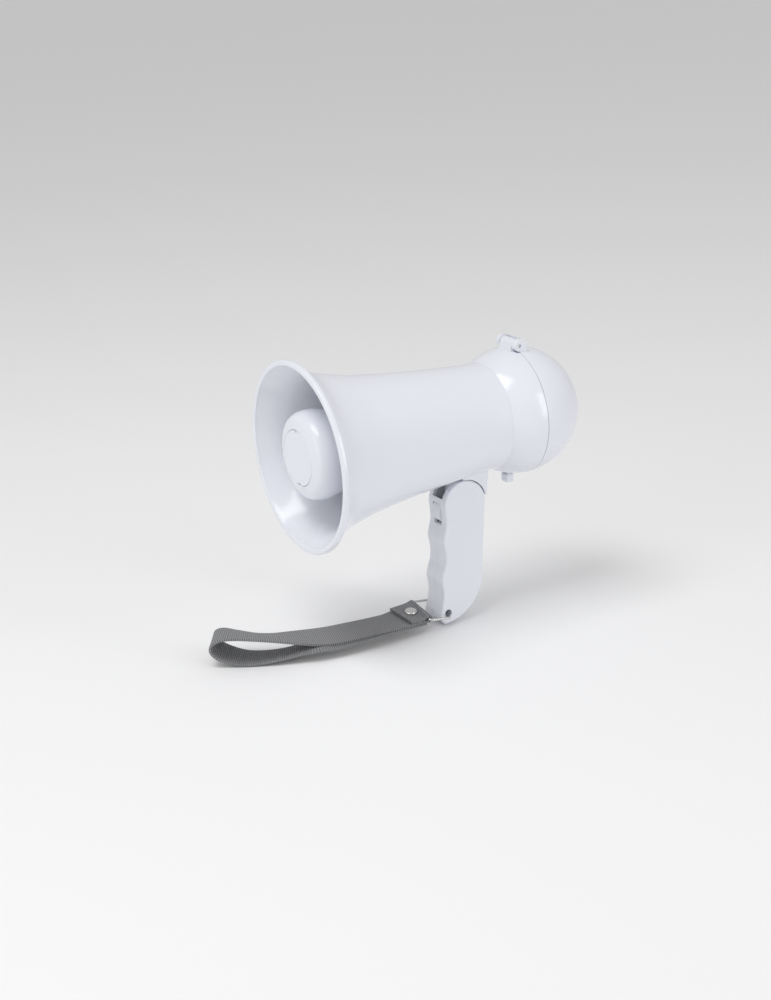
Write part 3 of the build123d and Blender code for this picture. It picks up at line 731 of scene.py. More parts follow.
class Finish(Enum):
    """The object's finishes, each with the record's material slot it belongs to."""

    WHITE = ("white_plastic", MouldedPlastic("white_plastic", (0.79, 0.805, 0.865), 0.17,
                                             worn=0.985, grain=0.006, ripple=0.03))
    BLACK = ("black_plastic", MouldedPlastic("black_plastic", (0.02, 0.02, 0.023), 0.5))
    RUBBER = ("black_rubber", MouldedPlastic("black_rubber", (0.018, 0.018, 0.018), 0.75,
                                             grain=0.08))
    CONE = ("cone_film", MouldedPlastic("cone_film", (0.05, 0.045, 0.04), 0.6, grain=0.12))
    DARK = ("dark_steel", PlatedMetal("dark_steel", (0.12, 0.12, 0.13), 0.4))
    STEEL = ("steel", PlatedMetal("steel", (0.55, 0.55, 0.56), 0.32))
    NICKEL = ("nickel", PlatedMetal("nickel", (0.80, 0.79, 0.77), 0.16))
    CAN = ("aluminium_can", PlatedMetal("aluminium_can", (0.72, 0.72, 0.74), 0.3))
    BOARD = ("board_laminate", BoardLaminate("board_laminate"))
    CELL = ("cell_wrap", MouldedPlastic("cell_wrap", (0.03, 0.06, 0.22), 0.3, coat=0.3))
    LEAD = ("lead_cover", MouldedPlastic("lead_cover", (0.42, 0.02, 0.02), 0.45))
    WEBBING = ("webbing", Webbing("webbing", (0.235, 0.237, 0.247)))


class FinishBook:
    """Every finish's material, built once."""

    def __init__(self) -> None:
        """Build them all."""
        effects = Effects()
        self.materials = {finish: finish.value[1].build(effects) for finish in Finish}

    def dress(self, piece: Object, finish: Finish) -> None:
        """Give a piece or a CAD node a finish."""
        piece.data.materials.clear()
        piece.data.materials.append(self.materials[finish])


# ---------------------------------------------------------------------------------- sub-assemblies
@dataclass
class SubAssembly:
    """Pieces of one CAD body that are modelled together."""

    book: FinishBook
    body: str
    made: list[Object] = field(default_factory=list)

    def keep(self, piece: Object, finish: Finish, *nodes: str) -> Object:
        """Dress a finished piece, let it ride, and let it stand for its CAD nodes.

        Args:
            piece: The finished mesh.
            finish: Its finish.
            nodes: The CAD nodes that it replaces.

        Returns:
            The same piece.
        """
        self.book.dress(piece, finish)
        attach(piece, self.body)
        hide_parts(*nodes)
        self.made.append(piece)
        return piece

    def report(self) -> None:
        """Say what was made."""
        for piece in self.made:
            log.info("%s: %s, %d faces", self.body, piece.name, len(piece.data.polygons))


@dataclass
class Horn(SubAssembly):
    """The flared horn with its rolled lip and the ledge that carries the loudspeaker."""

    mouth_r: float = 52.5
    lip_band: float = 3.3
    lip_round: float = 1.1
    length: float = 117.2
    neck_r: float = 30.0
    bore_r: float = 28.1
    flare: tuple[Point2, ...] = ((12, 45.1), (22, 41.5), (36, 38.2), (55, 35.3), (80, 32.5),
                                 (104, 30.5))
    inside: tuple[Point2, ...] = ((12, 42.8), (22, 39.2), (36, 35.95), (55, 33.1), (74, 31.0))
    ledge: tuple[float, float, float] = (76.5, 78.5, 24.5)

    def build(self) -> None:
        """Make the horn's shell."""
        c, lip_in = self.lip_round, self.mouth_r - self.lip_band
        x0, x1, ledge_r = self.ledge
        outside = flat_curve([(2.2 + c, self.mouth_r - c), *self.flare,
                              (self.length, self.neck_r)], 7)
        inner = flat_curve([(x0, 30.75), *reversed(self.inside), (c, lip_in)], 7)
        profile = [
            *arc((c, self.mouth_r - c), c, 180, 90, 6),
            *arc((2.2, self.mouth_r - c), c, 90, 0, 6), *outside[1:],
            (self.length, self.bore_r), (104, 28.4), (x1, 30.55), (x1, ledge_r), (x0, ledge_r),
            *inner, *arc((c, lip_in + c), c, 270, 180, 6)[1:],
        ]
        self.keep(smoothed(turned("horn", profile, 192)), Finish.WHITE, "horn_shell")


@dataclass
class Reflector(SubAssembly):
    """The bulb in the mouth, its round cap with two thumbnail notches, and its three fins."""

    cap_r: float = 15.2
    cap_front: float = 0.5
    cap_back: float = 2.5
    notch_r: float = 1.6
    skin: float = 1.8
    fin_half: float = 1.0
    fin_angles: tuple[float, ...] = (90, 210, 330)

    def bulb(self, skin: float) -> list[Point2]:
        """Half outline of the bulb, set in by a skin, from its front edge to its rear pole."""
        front = 4.0 if skin else 0.6
        return flat_curve([(front, 16.2), (3.4 + skin, 22.4 - skin), (12, 24.4 - skin),
                           (26, 20.6 - skin), (41, 13.2 - skin), (52 - skin, 6.0 - skin / 2),
                           (54.5 - skin, 0.0)], 8)

    def build(self) -> None:
        """Make the bulb and the cap."""
        outer, hollow = self.bulb(0.0), self.bulb(self.skin)
        seat = self.cap_r + 0.15
        body = turned("reflector", [(54.5 - self.skin, 0.0), *reversed(hollow[:-1]), (4.0, 13.4),
                                    (self.cap_back, 13.4), (self.cap_back, seat), (0.95, seat),
                                    (0.6, seat + 0.3), *outer], 128)
        for angle in self.fin_angles:
            fin = slab("fin", [(30, 11), (48, 9), (48, 33.8), (36, 35.6), (30, 36.7)],
                       -self.fin_half, self.fin_half)
            with all_in_edit():
                bpy.ops.transform.rotate(value=math.radians(angle - 90), orient_axis="X",
                                         center_override=MOUTH)
            core = turned("core", [(4, 0.0), *hollow[1:]], 64)
            fuse(body, cut(fin, core))
        self.keep(smoothed(body), Finish.WHITE, "reflector")
        r, x = self.cap_r, self.cap_front
        cap = turned("reflector_disc", [(x, 0.0), (x, r - 0.45), *arc((x + 0.4, r - 0.4), 0.4,
                                                                      180, 90, 4),
                                        (self.cap_back - 0.05, r), (self.cap_back - 0.05, 0.0)],
                     128)
        for side in (-1, 1):
            cut(cap, rod(at(0, 0, side * r), at(1.4, 0, side * r), self.notch_r))
        self.keep(smoothed(cap), Finish.WHITE, "reflector_cap")


@dataclass(frozen=True)
class Ball:
    """The ball that the rear case and its cover share, with the hinge and the seam."""

    middle_x: float = 136.8
    radius: float = 35.75
    wall: float = 2.0
    seam_x: float = 136.1
    seam_gap: float = 0.3
    hinge: Point2 = (136.2, 38.2)
    tongue_half: float = 5.9
    hinge_half: float = 9.5

    @property
    def inner(self) -> float:
        """Radius of the inside of the wall."""
        return self.radius - self.wall

    def half_arc(self, radius: float, x_from: float, x_to: float, steps: int) -> list[Point2]:
        """The ball's profile between two places along X, as (x, radius from the axis)."""
        start = math.degrees(math.acos((x_from - self.middle_x) / radius))
        end = math.degrees(math.acos((x_to - self.middle_x) / radius))
        return arc((self.middle_x, 0.0), radius, start, end, steps)

    def solid(self, radius: float) -> Object:
        """A plain ball, used as a cutter."""
        return turned("ball", [(self.middle_x - radius, 0.0),
                               *arc((self.middle_x, 0.0), radius, 172.5, 7.5, 44),
                               (self.middle_x + radius, 0.0)], 96)


@dataclass
class RearCase(SubAssembly):
    """Front half of the ball, its spigot in the horn, the hinge tongue and the latch slot."""

    ball: Ball = field(default_factory=Ball)
    front_x: float = 117.25
    spigot: tuple[float, float, float] = (109.0, 25.95, 27.95)
    bulkhead: tuple[float, float] = (119.6, 121.2)

    def build(self) -> None:
        """Make the case."""
        ball, (x0, r_in, r_out), (b0, b1) = self.ball, self.spigot, self.bulkhead
        profile = [
            (b0, 0.0), (b0, r_in), (x0, r_in), (x0, r_out), (self.front_x, r_out),
            *ball.half_arc(ball.radius, self.front_x, ball.seam_x - 0.12, 26),
            *arc((ball.seam_x - 0.12, ball.radius - 0.13), 0.12, 90, 0, 3),
            *ball.half_arc(ball.inner, ball.seam_x, b1, 18), (b1, 0.0),
        ]
        case = turned("rear_case_shell", profile, 160)
        hx, hz = ball.hinge
        tongue = slab("tongue", [(131.4, 32.5), (133.3, 39.4),
                                 *arc(ball.hinge, 3.1, 160, -10, 18), (hx, 34.6),
                                 (ball.seam_x, 32.5)],
                      -ball.tongue_half, ball.tongue_half, 0.35, 0.35)
        fuse(case, cut(tongue, ball.solid(ball.inner + 0.2)))
        cut(case, *(rod_y(hx, hz, side * 7.85 - 1.95, side * 7.85 + 1.95, 3.95)
                    for side in (-1, 1)))
        cut(case, rod_y(hx, hz, -20, 20, 1.05), block(128.0, 133.7, -2.7, 2.7, -37, -29))
        self.keep(smoothed(case), Finish.WHITE, "rear_case")


@dataclass
class Latch(SubAssembly):
    """The cover's rocking latch: finger tab outside, arm and nose inside."""

    def build(self) -> None:
        """Make the latch."""
        tab = block(128.4, 133.2, -3.0, 3.0, -41.0, -36.2, edge=0.7)
        fuse(tab, block(129.3, 132.3, -2.4, 2.4, -36.7, -30.6),
             block(131.0, 140.2, -2.4, 2.4, -31.8, -30.6),
             block(139.0, 140.2, -2.4, 2.4, -31.8, -29.85),
             rod_y(130.8, -31.8, -3.9, 3.9, 0.9))
        tab.name = tab.data.name = "latch_tab"
        self.keep(smoothed(tab), Finish.WHITE, "cover_latch", "latch_arm")


@dataclass
class RearCover(SubAssembly):
    """Back half of the ball with its microphone holes, hinge ears and catch bar."""

    ball: Ball = field(default_factory=Ball)
    hole_r: float = 0.8
    hole_rings: tuple[tuple[float, int], ...] = ((3.0, 6), (5.2, 12))

    def build(self) -> None:
        """Make the cover."""
        ball = self.ball
        start, hole = ball.seam_x + ball.seam_gap, self.hole_r
        out_x, in_x = (ball.middle_x + math.sqrt(r * r - hole * hole)
                       for r in (ball.radius, ball.inner))
        profile = [
            *arc((start + 0.12, ball.radius - 0.13), 0.12, 180, 90, 3),
            *ball.half_arc(ball.radius, start + 0.3, out_x, 40),
            *ball.half_arc(ball.inner, in_x, start, 40),
        ]
        cover = turned("rear_cover_shell", profile, 160)
        fuse(cover, turned("microphone_seat", [(163.5, 6.5), (163.5, 7.8), (170.6, 7.8),
                                               (170.9, 6.5)], 64))
        holes = [rod(at(168, y, z), at(174, y, z), hole, 16)
                 for radius, count in self.hole_rings
                 for y, z in ((radius * math.cos(math.tau * i / count),
                               radius * math.sin(math.tau * i / count)) for i in range(count))]
        cut(cover, joined("holes", holes))
        hx, hz = ball.hinge
        ears = slab("ears", [(hx - 1.2, hz - 3.0), *arc_through((hx - 3.2, hz - 1.2),
                                                              (hx - 2.2, hz + 2.6),
                                                              (hx + 0.4, hz + 3.6), 10),
                             (hx + 1.9, hz + 3.6), (hx + 3.6, hz + 2.9), (hx + 4.4, hz + 0.8),
                             (141.6, 35.0), (140, 32.5), (hx + 0.6, 34.6)],
                    -ball.hinge_half, ball.hinge_half, 0.5, 0.5)
        reach = ball.tongue_half + 0.25
        cut(ears, block(120, hx + 3.35, -reach, reach, 30, 45), ball.solid(ball.inner + 0.3))
        fuse(cover, ears)
        cut(cover, rod_y(hx, hz, -reach, reach, 3.35), rod_y(hx, hz, -12, 12, 1.0))
        catch = block(137.3, 138.6, -4.8, 4.8, -29.6, -27.0)
        for side in (-1, 1):
            fuse(catch, block(136.7, 138.6, side * 4.1 - 0.7, side * 4.1 + 0.7, -34.5, -27.5))
        fuse(cover, catch)
        self.keep(smoothed(cover), Finish.WHITE, "rear_cover")


@dataclass(frozen=True)
class GripShape:
    """The grip's side view and the places its two halves share."""

    pivot: Point2 = (96.8, -44.8)
    top_r: float = 13.25
    half: float = 9.0
    wall: float = 2.0
    inside_half: float = 7.2
    foot_z: float = -112.6
    pin_r: float = 2.05
    ring_hole: Point2 = (82.3, -106.3)
    screws: tuple[Point2, ...] = ((104.0, -63.0), (99.0, -92.0), (86.5, -92.0))

    def outline(self) -> list[Point2]:
        """Round top, finger grooves down the front, foot, round heel and straight back."""
        (px, pz), r = self.pivot, self.top_r
        front = flat_curve([(px - r, pz), (84.0, -50.5), (83.9, -55.0), (82.5, -60.2),
                            (81.75, -64.4), (82.35, -68.4), (82.75, -73.0), (82.2, -78.0),
                            (80.4, -83.0), (79.5, -87.0), (79.9, -91.0), (80.2, -95.5),
                            (79.3, -101.0), (77.9, -106.0)], 4)
        foot = [*arc((79.4, -108.8), 2.0, 165, 235, 6)]
        under = arc_through((80.2, self.foot_z), (99.0, -104.3), (106.3, -82.0), 40)
        return [*arc(self.pivot, r, 0, 180, 48), *front[1:], *foot, *under]


@dataclass
class Grip(SubAssembly):
    """The two halves of the pistol grip."""

    shape: GripShape = field(default_factory=GripShape)
    tang_room: Point2 = (92.6, 102.2)
    fold_max: float = 52.0

    def room(self) -> Object:
        """The hollow between the halves, with the bosses and posts standing in it."""
        shape = self.shape
        (px, pz), (rx, rz) = shape.pivot, shape.ring_hole
        hollow = slab("room", inset(shape.outline(), shape.wall), -shape.inside_half,
                      shape.inside_half)
        for side in (-1, 1):
            near, far = sorted((side * 5.2, side * 8.0))
            cut(hollow, rod_y(px, pz, near, far, 4.4))
        return cut(hollow, rod_y(rx, rz, -8, 8, 4.4),
                   *(rod_y(x, z, -8, 8, 3.1) for x, z in shape.screws))

    def fold_slot(self) -> Object:
        """Room in the round top for the bracket's tang, from the grip in use to the grip folded."""
        px, pz = self.shape.pivot
        (front, back), reach = (x - px for x in self.tang_room), self.shape.top_r + 4
        way = math.radians(90 + self.fold_max)
        aim, side = Vector((math.cos(way), math.sin(way))), Vector((math.sin(way), -math.cos(way)))
        far = Vector(self.shape.pivot) + aim * reach
        swept = [(px + back, pz), (px + back, pz + reach), (px, pz + reach), far,
                 far + side * front, Vector(self.shape.pivot) + side * front]
        slot = slab("slot", [tuple(p) for p in swept], -5.2, 5.2)
        return fuse(slot, rod_y(px, pz, -5.2, 5.2, 5.4))

    def half_shell(self, name: str, side: int) -> Object:
        """One half, with its edges rounded and every hole cut.

        Args:
            name: The new piece's name.
            side: -1 for the half on -Y, 1 for the other.

        Returns:
            The finished half.
        """
        shape = self.shape
        (px, pz), (rx, rz) = shape.pivot, shape.ring_hole
        edges = (1.15, 0.3) if side < 0 else (0.3, 1.15)
        y0, y1 = (-shape.half, -0.02) if side < 0 else (0.02, shape.half)
        shell = slab(name, shape.outline(), y0, y1, *edges)
        cut(shell, self.room(), self.fold_slot(), rod_y(px, pz, -7.0, 7.0, shape.pin_r),
            rod_y(rx, rz, -12, 12, 2.2), block(80, 89, -3.8, 3.8, -55.9, -43.2))
        for x, z in shape.screws:
            cut(shell, rod_y(x, z, -6.4, 3.1, 1.25), rod_y(x, z, 3.0, 12, 2.4))
        return smoothed(shell)

    def build(self) -> None:
        """Make both halves."""
        self.keep(self.half_shell("grip_right", -1), Finish.WHITE, "handle_right")
        self.keep(self.half_shell("grip_left", 1), Finish.WHITE, "handle_left")


@dataclass
class Bracket(SubAssembly):
    """Block under the barrel, hollowed for the grip's round top, with the tang it turns on."""

    shape: GripShape = field(default_factory=GripShape)
    gap: float = 0.5
    tang: tuple[float, float, float, float] = (93.0, 101.8, 4.9, 5.0)
    edge: float = 0.35

    @staticmethod
    def barrel() -> Object:
        """The horn's barrel as a solid, used as a cutter."""
        return turned("barrel", [(80.0, 0.0), (80.0, 32.5), (104, 30.48), (117.2, 30.0),
                                 (117.2, 0.0)], 192)

    def build(self) -> None:
        """Make the bracket."""
        px, pz = self.shape.pivot
        hollow_r = self.shape.top_r + self.gap
        front, back, half, end_r = self.tang
        block_line = [(96.4, -26), (112.9, -26), (111.0, -42.2),
                      *arc(self.shape.pivot, hollow_r, 10.9, 91.7, 30)]
        bracket = slab("bracket", block_line, -self.shape.half, self.shape.half)
        cut(bracket, self.barrel())
        tang = slab("tang", [(front, -29), (back, -29), (back, pz),
                             *arc(self.shape.pivot, end_r, 0, -180, 24)], -half, half, 0.3, 0.3)
        fuse(bracket, cut(tang, self.barrel()))
        cut(bracket, rod_y(px, pz, -10, 10, self.shape.pin_r))
        eased(bracket, self.edge)
        self.keep(smoothed(bracket), Finish.WHITE, "handle_bracket")


@dataclass
class Trigger(SubAssembly):
    """Talk trigger in the front of the grip, on the flange that keeps it there."""

    half: float = 3.6

    def build(self) -> None:
        """Make the trigger."""
        face = flat_curve([(84.4, -43.6), (83.3, -45.4), (82.9, -48.0), (83.0, -51.3),
                           (84.2, -53.6)], 5)
        bar = slab("talk_trigger", [(87.2, -43.6), *face, (87.2, -53.6)], -self.half, self.half,
                   0.55, 0.55)
        fuse(bar, block(86.7, 88.1, -5, 5, -63.0, -45.0))
        self.keep(smoothed(bar), Finish.WHITE, "trigger")


@dataclass(frozen=True)
class StrapEnd:
    """Where the ring and the strap's riveted end lie: tilted about X and a little about Y."""

    hole: tuple[float, float, float] = (82.3, 0.0, -106.3)
    roll: float = 8.5
    pitch: float = 7.6
    reach: float = 13.6
    half: float = 11.6

    @property
    def tilt(self) -> Matrix:
        """From the level drawing to the row frame, in metres."""
        return (Matrix.Translation(at(*self.hole)) @ Matrix.Rotation(math.radians(self.roll), 4, "X")
                @ Matrix.Rotation(math.radians(self.pitch), 4, "Y"))

    @property
    def bar(self) -> Vector:
        """Middle of the ring's side that the strap goes round, in the row frame."""
        return self.tilt @ (Vector((-self.reach, 0, 0)) * MM)


@dataclass
class WristRing(SubAssembly):
    """Wire ring through the grip's foot, bent to a rounded rectangle."""

    end: StrapEnd = field(default_factory=StrapEnd)
    wire_r: float = 0.7
    far_bend: float = 2.6
    near_bend: float = 2.2

    def build(self) -> None:
        """Make the ring."""
        h, reach, f, n = self.end.half, self.end.reach, self.far_bend, self.near_bend
        side = [*((0.0, y) for y in (0.0, h * 0.4)), *arc((-n, h - n), n, 0, 90, 8),
                *arc((-reach + f, h - f), f, 90, 180, 8), (-reach, h * 0.3)]
        flat = [*side, *((x, -y) for x, y in reversed(side[1:]))]
        path = [self.end.tilt @ (Vector((x, y, 0)) * MM) for x, y in flat]
        self.keep(smoothed(wire("ring_wire", path, self.wire_r, closed=True), 60), Finish.NICKEL,
                  "wrist_ring")


@dataclass(frozen=True)
class Lie:
    """How the webbing lies at one place: its middle, heading and tilt of its width."""

    x: float
    y: float
    z: float
    heading: float
    tilt: float
    shift: float = 0.0

    @property
    def across(self) -> Vector:
        """Unit vector along the width."""
        h, t = math.radians(self.heading), math.radians(self.tilt)
        return Vector((math.sin(h) * math.cos(t), math.cos(h) * math.cos(t), math.sin(t)))

    @property
    def up(self) -> Vector:
        """Unit vector square to the webbing, pointing up."""
        return Vector((1, 0, 0)).cross(self.across).normalized()

    def layer(self, count: float, step: float) -> tuple[Vector, Vector]:
        """The middle and width of the layer so many steps above this one."""
        middle = Vector((self.x, self.y, self.z)) + self.up * (count * step)
        if count < 0:
            middle += self.across * self.shift
        return at(*middle), self.across


@dataclass
class WristStrap(SubAssembly):
    """One strip of webbing laid as a loop, folded round the ring and riveted to itself."""

    end: StrapEnd = field(default_factory=StrapEnd)
    width: float = 20.0
    thickness: float = 1.25
    step: float = 1.5
    fold_r: float = 1.65
    rivet_x: float = 62.6
    rivet_r: float = 3.55
    upper: tuple[Lie, ...] = (
        Lie(62.0, -0.8, -105.4, 0, 8.5), Lie(55.5, -1.6, -105.3, 2, 6.0),
        Lie(49.0, -2.4, -105.2, 5, 3.5, -0.2), Lie(40.0, -1.9, -105.1, 6, 3.5, -0.6),
        Lie(31.6, -0.9, -105.3, 7, 4.5, -1.4), Lie(23.0, 0.6, -105.6, 10, 6.0, -2.4),
        Lie(14.0, 2.3, -105.8, 13, 6.5, -3.4), Lie(5.6, 4.4, -105.3, 16, 4.5, -4.2),
    )
    loop: tuple[Lie, ...] = (
        Lie(-2.8, 6.9, -104.2, 18, -0.5), Lie(-10.7, 9.6, -103.1, 21, -6.0),
        Lie(-18.0, 12.7, -102.2, 26, -10.7), Lie(-26.0, 16.5, -100.9, 30, -12.0),
        Lie(-34.8, 21.5, -99.2, 32, -8.5), Lie(-41.2, 25.3, -98.6, 32, -2.5),
        Lie(-45.2, 27.8, -100.6, 33, 2.0), Lie(-45.6, 28.0, -104.2, 34, 3.5),
        Lie(-42.8, 26.3, -107.8, 36, 3.5), Lie(-38.2, 23.5, -110.6, 36.5, 2.5),
        Lie(-31.8, 19.4, -112.7, 36, 0.0), Lie(-24.2, 14.6, -113.0, 33, -2.5),
        Lie(-16.5, 10.2, -112.2, 30, -5.0), Lie(-8.8, 6.4, -110.9, 27, -6.0),
        Lie(-2.2, 3.4, -109.0, 22, -3.5),
    )

    def run(self) -> list[tuple[Vector, Vector]]:
        """Middle and width all along the strip: lower run, loop, upper run, fold, flap."""
        tab = Lie(0, 0, 0, 0, self.end.roll)
        bar, ahead = self.end.bar, Vector((-1, 0, 0)) * MM
        near_bar = bar + ahead * 2.6 - tab.up * ((self.fold_r - 0.4) * MM)
        under = [(near_bar - tab.up * (self.step * MM), tab.across)]
        under += [lie.layer(-1, self.step) for lie in self.upper]
        outer = [lie.layer(0, self.step) for lie in reversed(self.loop)]
        over = [lie.layer(0, self.step) for lie in reversed(self.upper)]
        fold = [(near_bar, tab.across)]
        fold += [(bar - ahead * x + tab.up * (z * MM), tab.across)
                 for x, z in (p for p in arc((0.0, 0.0), self.fold_r, -90, 90, 6))]
        fold.append((bar + ahead * 2.8 + tab.up * ((self.fold_r - 0.85) * MM), tab.across))
        flap, (tip, tip_across) = (lie.layer(1, self.step) for lie in self.upper[:2])
        return [*under, *outer, *over, *fold, flap, (tip + tab.up * (0.3 * MM), tip_across)]

    def strip(self, spans: int = 6, rows: int = 10) -> tuple[Object, float]:
        """The webbing as a sheet, with a map in metres along and across it.

        Args:
            spans: Steps between two places of the run.
            rows: Faces across the width.

        Returns:
            The sheet and its length in metres.
        """
        run = self.run()
        middles = curve_through([m for m, _ in run], spans)
        widths = curve_through([w for _, w in run], spans)
        mesh = bmesh.new()
        layer = mesh.loops.layers.uv.new("strip")
        half, last, travelled = self.width * MM / 2, len(middles) - 1, 0.0
        grid, lengths = [], []
        for i, (middle, width) in enumerate(zip(middles, widths)):
            along = (middles[min(i + 1, last)] - middles[max(i - 1, 0)]).normalized()
            across = (width - along * width.dot(along)).normalized()
            travelled += (middle - middles[i - 1]).length if i else 0.0
            lengths.append(travelled)
            grid.append([mesh.verts.new(middle + across * (half * (2 * j / rows - 1)))
                         for j in range(rows + 1)])
        for i in range(last):
            for j in range(rows):
                corners = ((i, j), (i, j + 1), (i + 1, j + 1), (i + 1, j))
                face = mesh.faces.new([grid[a][b] for a, b in corners])
                for loop, (a, b) in zip(face.loops, corners):
                    loop[layer].uv = (lengths[a], half * 2 * b / rows)
        data = bpy.data.meshes.new("webbing")
        mesh.to_mesh(data)
        mesh.free()
        sheet = bpy.data.objects.new("webbing", data)
        bpy.context.collection.objects.link(sheet)
        return sheet, travelled

    def build(self) -> None:
        """Make the webbing, the rivet's cap and its washer."""
        sheet, length = self.strip()
        take(sheet)
        wall = sheet.modifiers.new("thickness", "SOLIDIFY")
        wall.thickness, wall.offset = self.thickness * MM, 0.0
        bpy.ops.object.modifier_apply(modifier=wall.name)
        edge = sheet.modifiers.new("edge", "BEVEL")
        edge.width, edge.segments, edge.limit_method = 0.4 * MM, 3, "ANGLE"
        edge.angle_limit = math.radians(60)
        bpy.ops.object.modifier_apply(modifier=edge.name)
        self.keep(smoothed(sheet, 50), Finish.WEBBING, "wrist_strap")
        self.rivet()

    def rivet(self) -> None:
        """Domed cap above the three layers and a flat washer below."""
        first = self.upper[0]
        seat = Vector((self.rivet_x, first.y, first.z))
        frame = Matrix.Translation(at(*seat)) @ first.up.to_track_quat("Z", "Y").to_matrix().to_4x4()
        top, low = (1.5 * self.step + 0.15) * MM, (-1.5 * self.step - 0.85) * MM
        for name, node, z, dome in (("rivet_cap", "strap_rivet", top, 1.9),
                                    ("rivet_washer", "strap_washer", low, 0.5)):
            deselect()
            bpy.ops.mesh.primitive_cylinder_add(vertices=64, radius=self.rivet_r * MM,
                                                depth=0.5 * MM,
                                                location=(0, 0, z + 0.25 * MM))
            cap = bpy.context.object
            cap.name = cap.data.name = name
            bpy.ops.object.transform_apply(location=True, rotation=True, scale=True)
            bpy.ops.object.mode_set(mode="EDIT")
            bpy.ops.mesh.select_mode(type="FACE")
            bpy.ops.mesh.select_all(action="DESELECT")
            mesh = bmesh.from_edit_mesh(cap.data)
            for face in mesh.faces:
                face.select_set(face.normal.z > 0.9)
            bmesh.update_edit_mesh(cap.data)
            rings = 8 if dome > 1 else 2
            for i in range(1, rings):
                tilt = math.radians(90 * i / rings)
                before = math.radians(90 * (i - 1) / rings)
                rise = (dome - 0.5) * (math.sin(tilt) - math.sin(before))
                bpy.ops.mesh.extrude_region_move(
                    TRANSFORM_OT_translate={"value": (0, 0, rise * MM)})
                bpy.ops.transform.resize(value=(math.cos(tilt) / math.cos(before),) * 2 + (1,),
                                         center_override=(0, 0, 0))
            bpy.ops.mesh.merge(type="CENTER")
            bpy.ops.object.mode_set(mode="OBJECT")
            cap.data.transform(frame)
            self.keep(smoothed(cap, 50), Finish.NICKEL, node)


@dataclass
class InnerWorks:
    """CAD nodes that keep their own shape and only get a finish."""

    book: FinishBook
    nodes: dict[str, Object]
    finishes: tuple[tuple[Finish, tuple[str, ...]], ...] = (
        (Finish.STEEL, ("cover_hinge_pin", "latch_spring", "speaker_screws", "board_screws",
                        "bracket_screws", "handle_pivot", "handle_screws", "trigger_spring")),
        (Finish.DARK, ("speaker_frame", "speaker_magnet")),
        (Finish.RUBBER, ("speaker_gasket", "microphone_sleeve")),
        (Finish.CONE, ("speaker_cone", "speaker_dust_cap")),
        (Finish.BOARD, ("circuit_board",)),
        (Finish.BLACK, ("amplifier_chip", "battery_tray", "trigger_switch")),
        (Finish.CAN, ("capacitors", "microphone")),
        (Finish.CELL, ("battery_cells",)),
        (Finish.NICKEL, ("battery_contacts",)),
        (Finish.LEAD, ("speaker_leads", "battery_leads")),
    )

    def build(self) -> None:
        """Dress every node."""
        for finish, names in self.finishes:
            for name in names:
                self.book.dress(self.nodes[name], finish)
                log.info("kept %s in %s", name, finish.value[0])


@dataclass(frozen=True)
class Softbox:
    """A soft rectangular lamp aimed at the object."""

    name: str
    place: tuple[float, float, float]
    size: Point2
    power: float

    def build(self) -> None:
        """Hang the lamp."""
        aim = (Vector((-0.02, 0, 0.05)) - Vector(self.place)).to_track_quat("-Z", "Y")
        bpy.ops.object.light_add(type="AREA", location=self.place, rotation=aim.to_euler())
        lamp = bpy.context.object
        lamp.name = self.name
        lamp.data.shape = "RECTANGLE"
        (lamp.data.size, lamp.data.size_y), lamp.data.energy = self.size, self.power


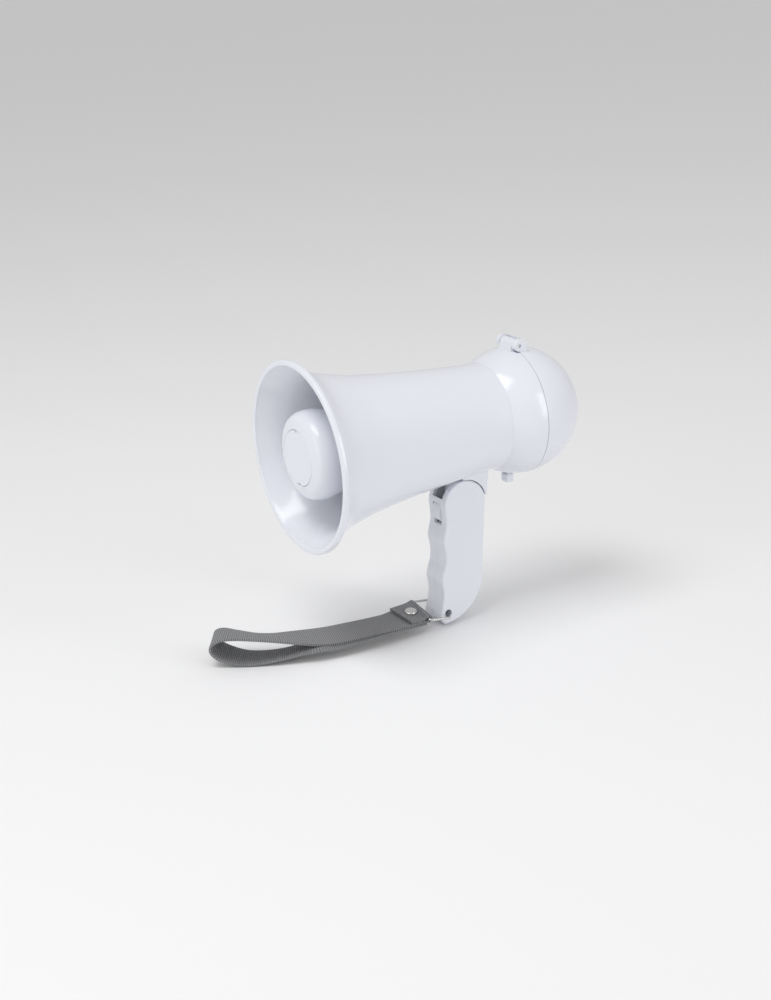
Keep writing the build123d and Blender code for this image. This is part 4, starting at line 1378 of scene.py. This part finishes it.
@dataclass
class Studio:
    """Camera, floor and soft light."""

    camera_at: tuple[float, float, float] = (-0.5372, -0.9034, 0.3932)
    right: tuple[float, float, float] = (0.8652, -0.4979, -0.0601)
    up: tuple[float, float, float] = (0.2112, 0.2531, 0.9442)
    lens: float = 72.0
    floor_size: float = 40.0
    floor_colour: tuple[float, float, float, float] = (0.93, 0.93, 0.935, 1.0)
    sky: float = 0.58
    lamps: tuple[Softbox, ...] = (
        Softbox("top", (-0.55, -0.15, 1.3), (0.8, 0.5), 6.5),
        Softbox("tall", (0.6, -1.25, 0.4), (0.3, 1.0), 3.6),
        Softbox("side", (-1.4, -0.35, 0.55), (0.8, 0.8), 3.0),
    )

    def build(self, lowest: float) -> None:
        """Set up the studio.

        Args:
            lowest: Height of the object's lowest point, where the floor goes.
        """
        deselect()
        bpy.ops.object.camera_add()
        camera = bpy.context.object
        right, up = Vector(self.right).normalized(), Vector(self.up).normalized()
        back = right.cross(up)
        turn = Matrix((right, back.cross(right), back)).transposed()
        camera.matrix_world = Matrix.Translation(self.camera_at) @ turn.to_4x4()
        camera.data.lens, camera.data.sensor_width = self.lens, 36.0
        camera.data.clip_start, camera.data.clip_end = 0.01, 100.0
        bpy.context.scene.camera = camera
        bpy.context.scene.view_settings.view_transform = "Standard"
        for lamp in self.lamps:
            lamp.build()
        world = bpy.data.worlds.new("studio")
        world.use_nodes = True
        world.node_tree.nodes["Background"].inputs["Color"].default_value = (1, 1, 1, 1)
        world.node_tree.nodes["Background"].inputs["Strength"].default_value = self.sky
        bpy.context.scene.world = world
        deselect()
        bpy.ops.mesh.primitive_plane_add(size=self.floor_size, location=(0, 0, lowest))
        floor = bpy.context.object
        floor.name = "floor"
        material, wiring, shader = shader_of("paper_floor")
        speckle = wiring.add("ShaderNodeTexNoise", {"Scale": 3.0})
        material.node_tree.links.new(wiring.spread(speckle.outputs[0], 0.7, 0.8),
                                     shader.inputs["Roughness"])
        shader.inputs["Base Color"].default_value = self.floor_colour
        floor.data.materials.append(material)
        floor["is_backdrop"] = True


def main() -> None:
    """Load the frame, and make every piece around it."""
    logging.basicConfig(level=logging.INFO, format="%(message)s")
    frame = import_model()
    low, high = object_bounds()
    book = FinishBook()
    Studio().build(low.z)
    for part in (Horn(book, "housing"), Reflector(book, "housing"), RearCase(book, "housing"),
                 Bracket(book, "housing"), RearCover(book, "cover"), Latch(book, "latch"),
                 Grip(book, "handle"), Trigger(book, "trigger"), WristRing(book, "ring"),
                 WristStrap(book, "strap")):
        part.build()
        part.report()
    InnerWorks(book, frame["nodes"]).build()


if __name__ == "__main__":
    main()
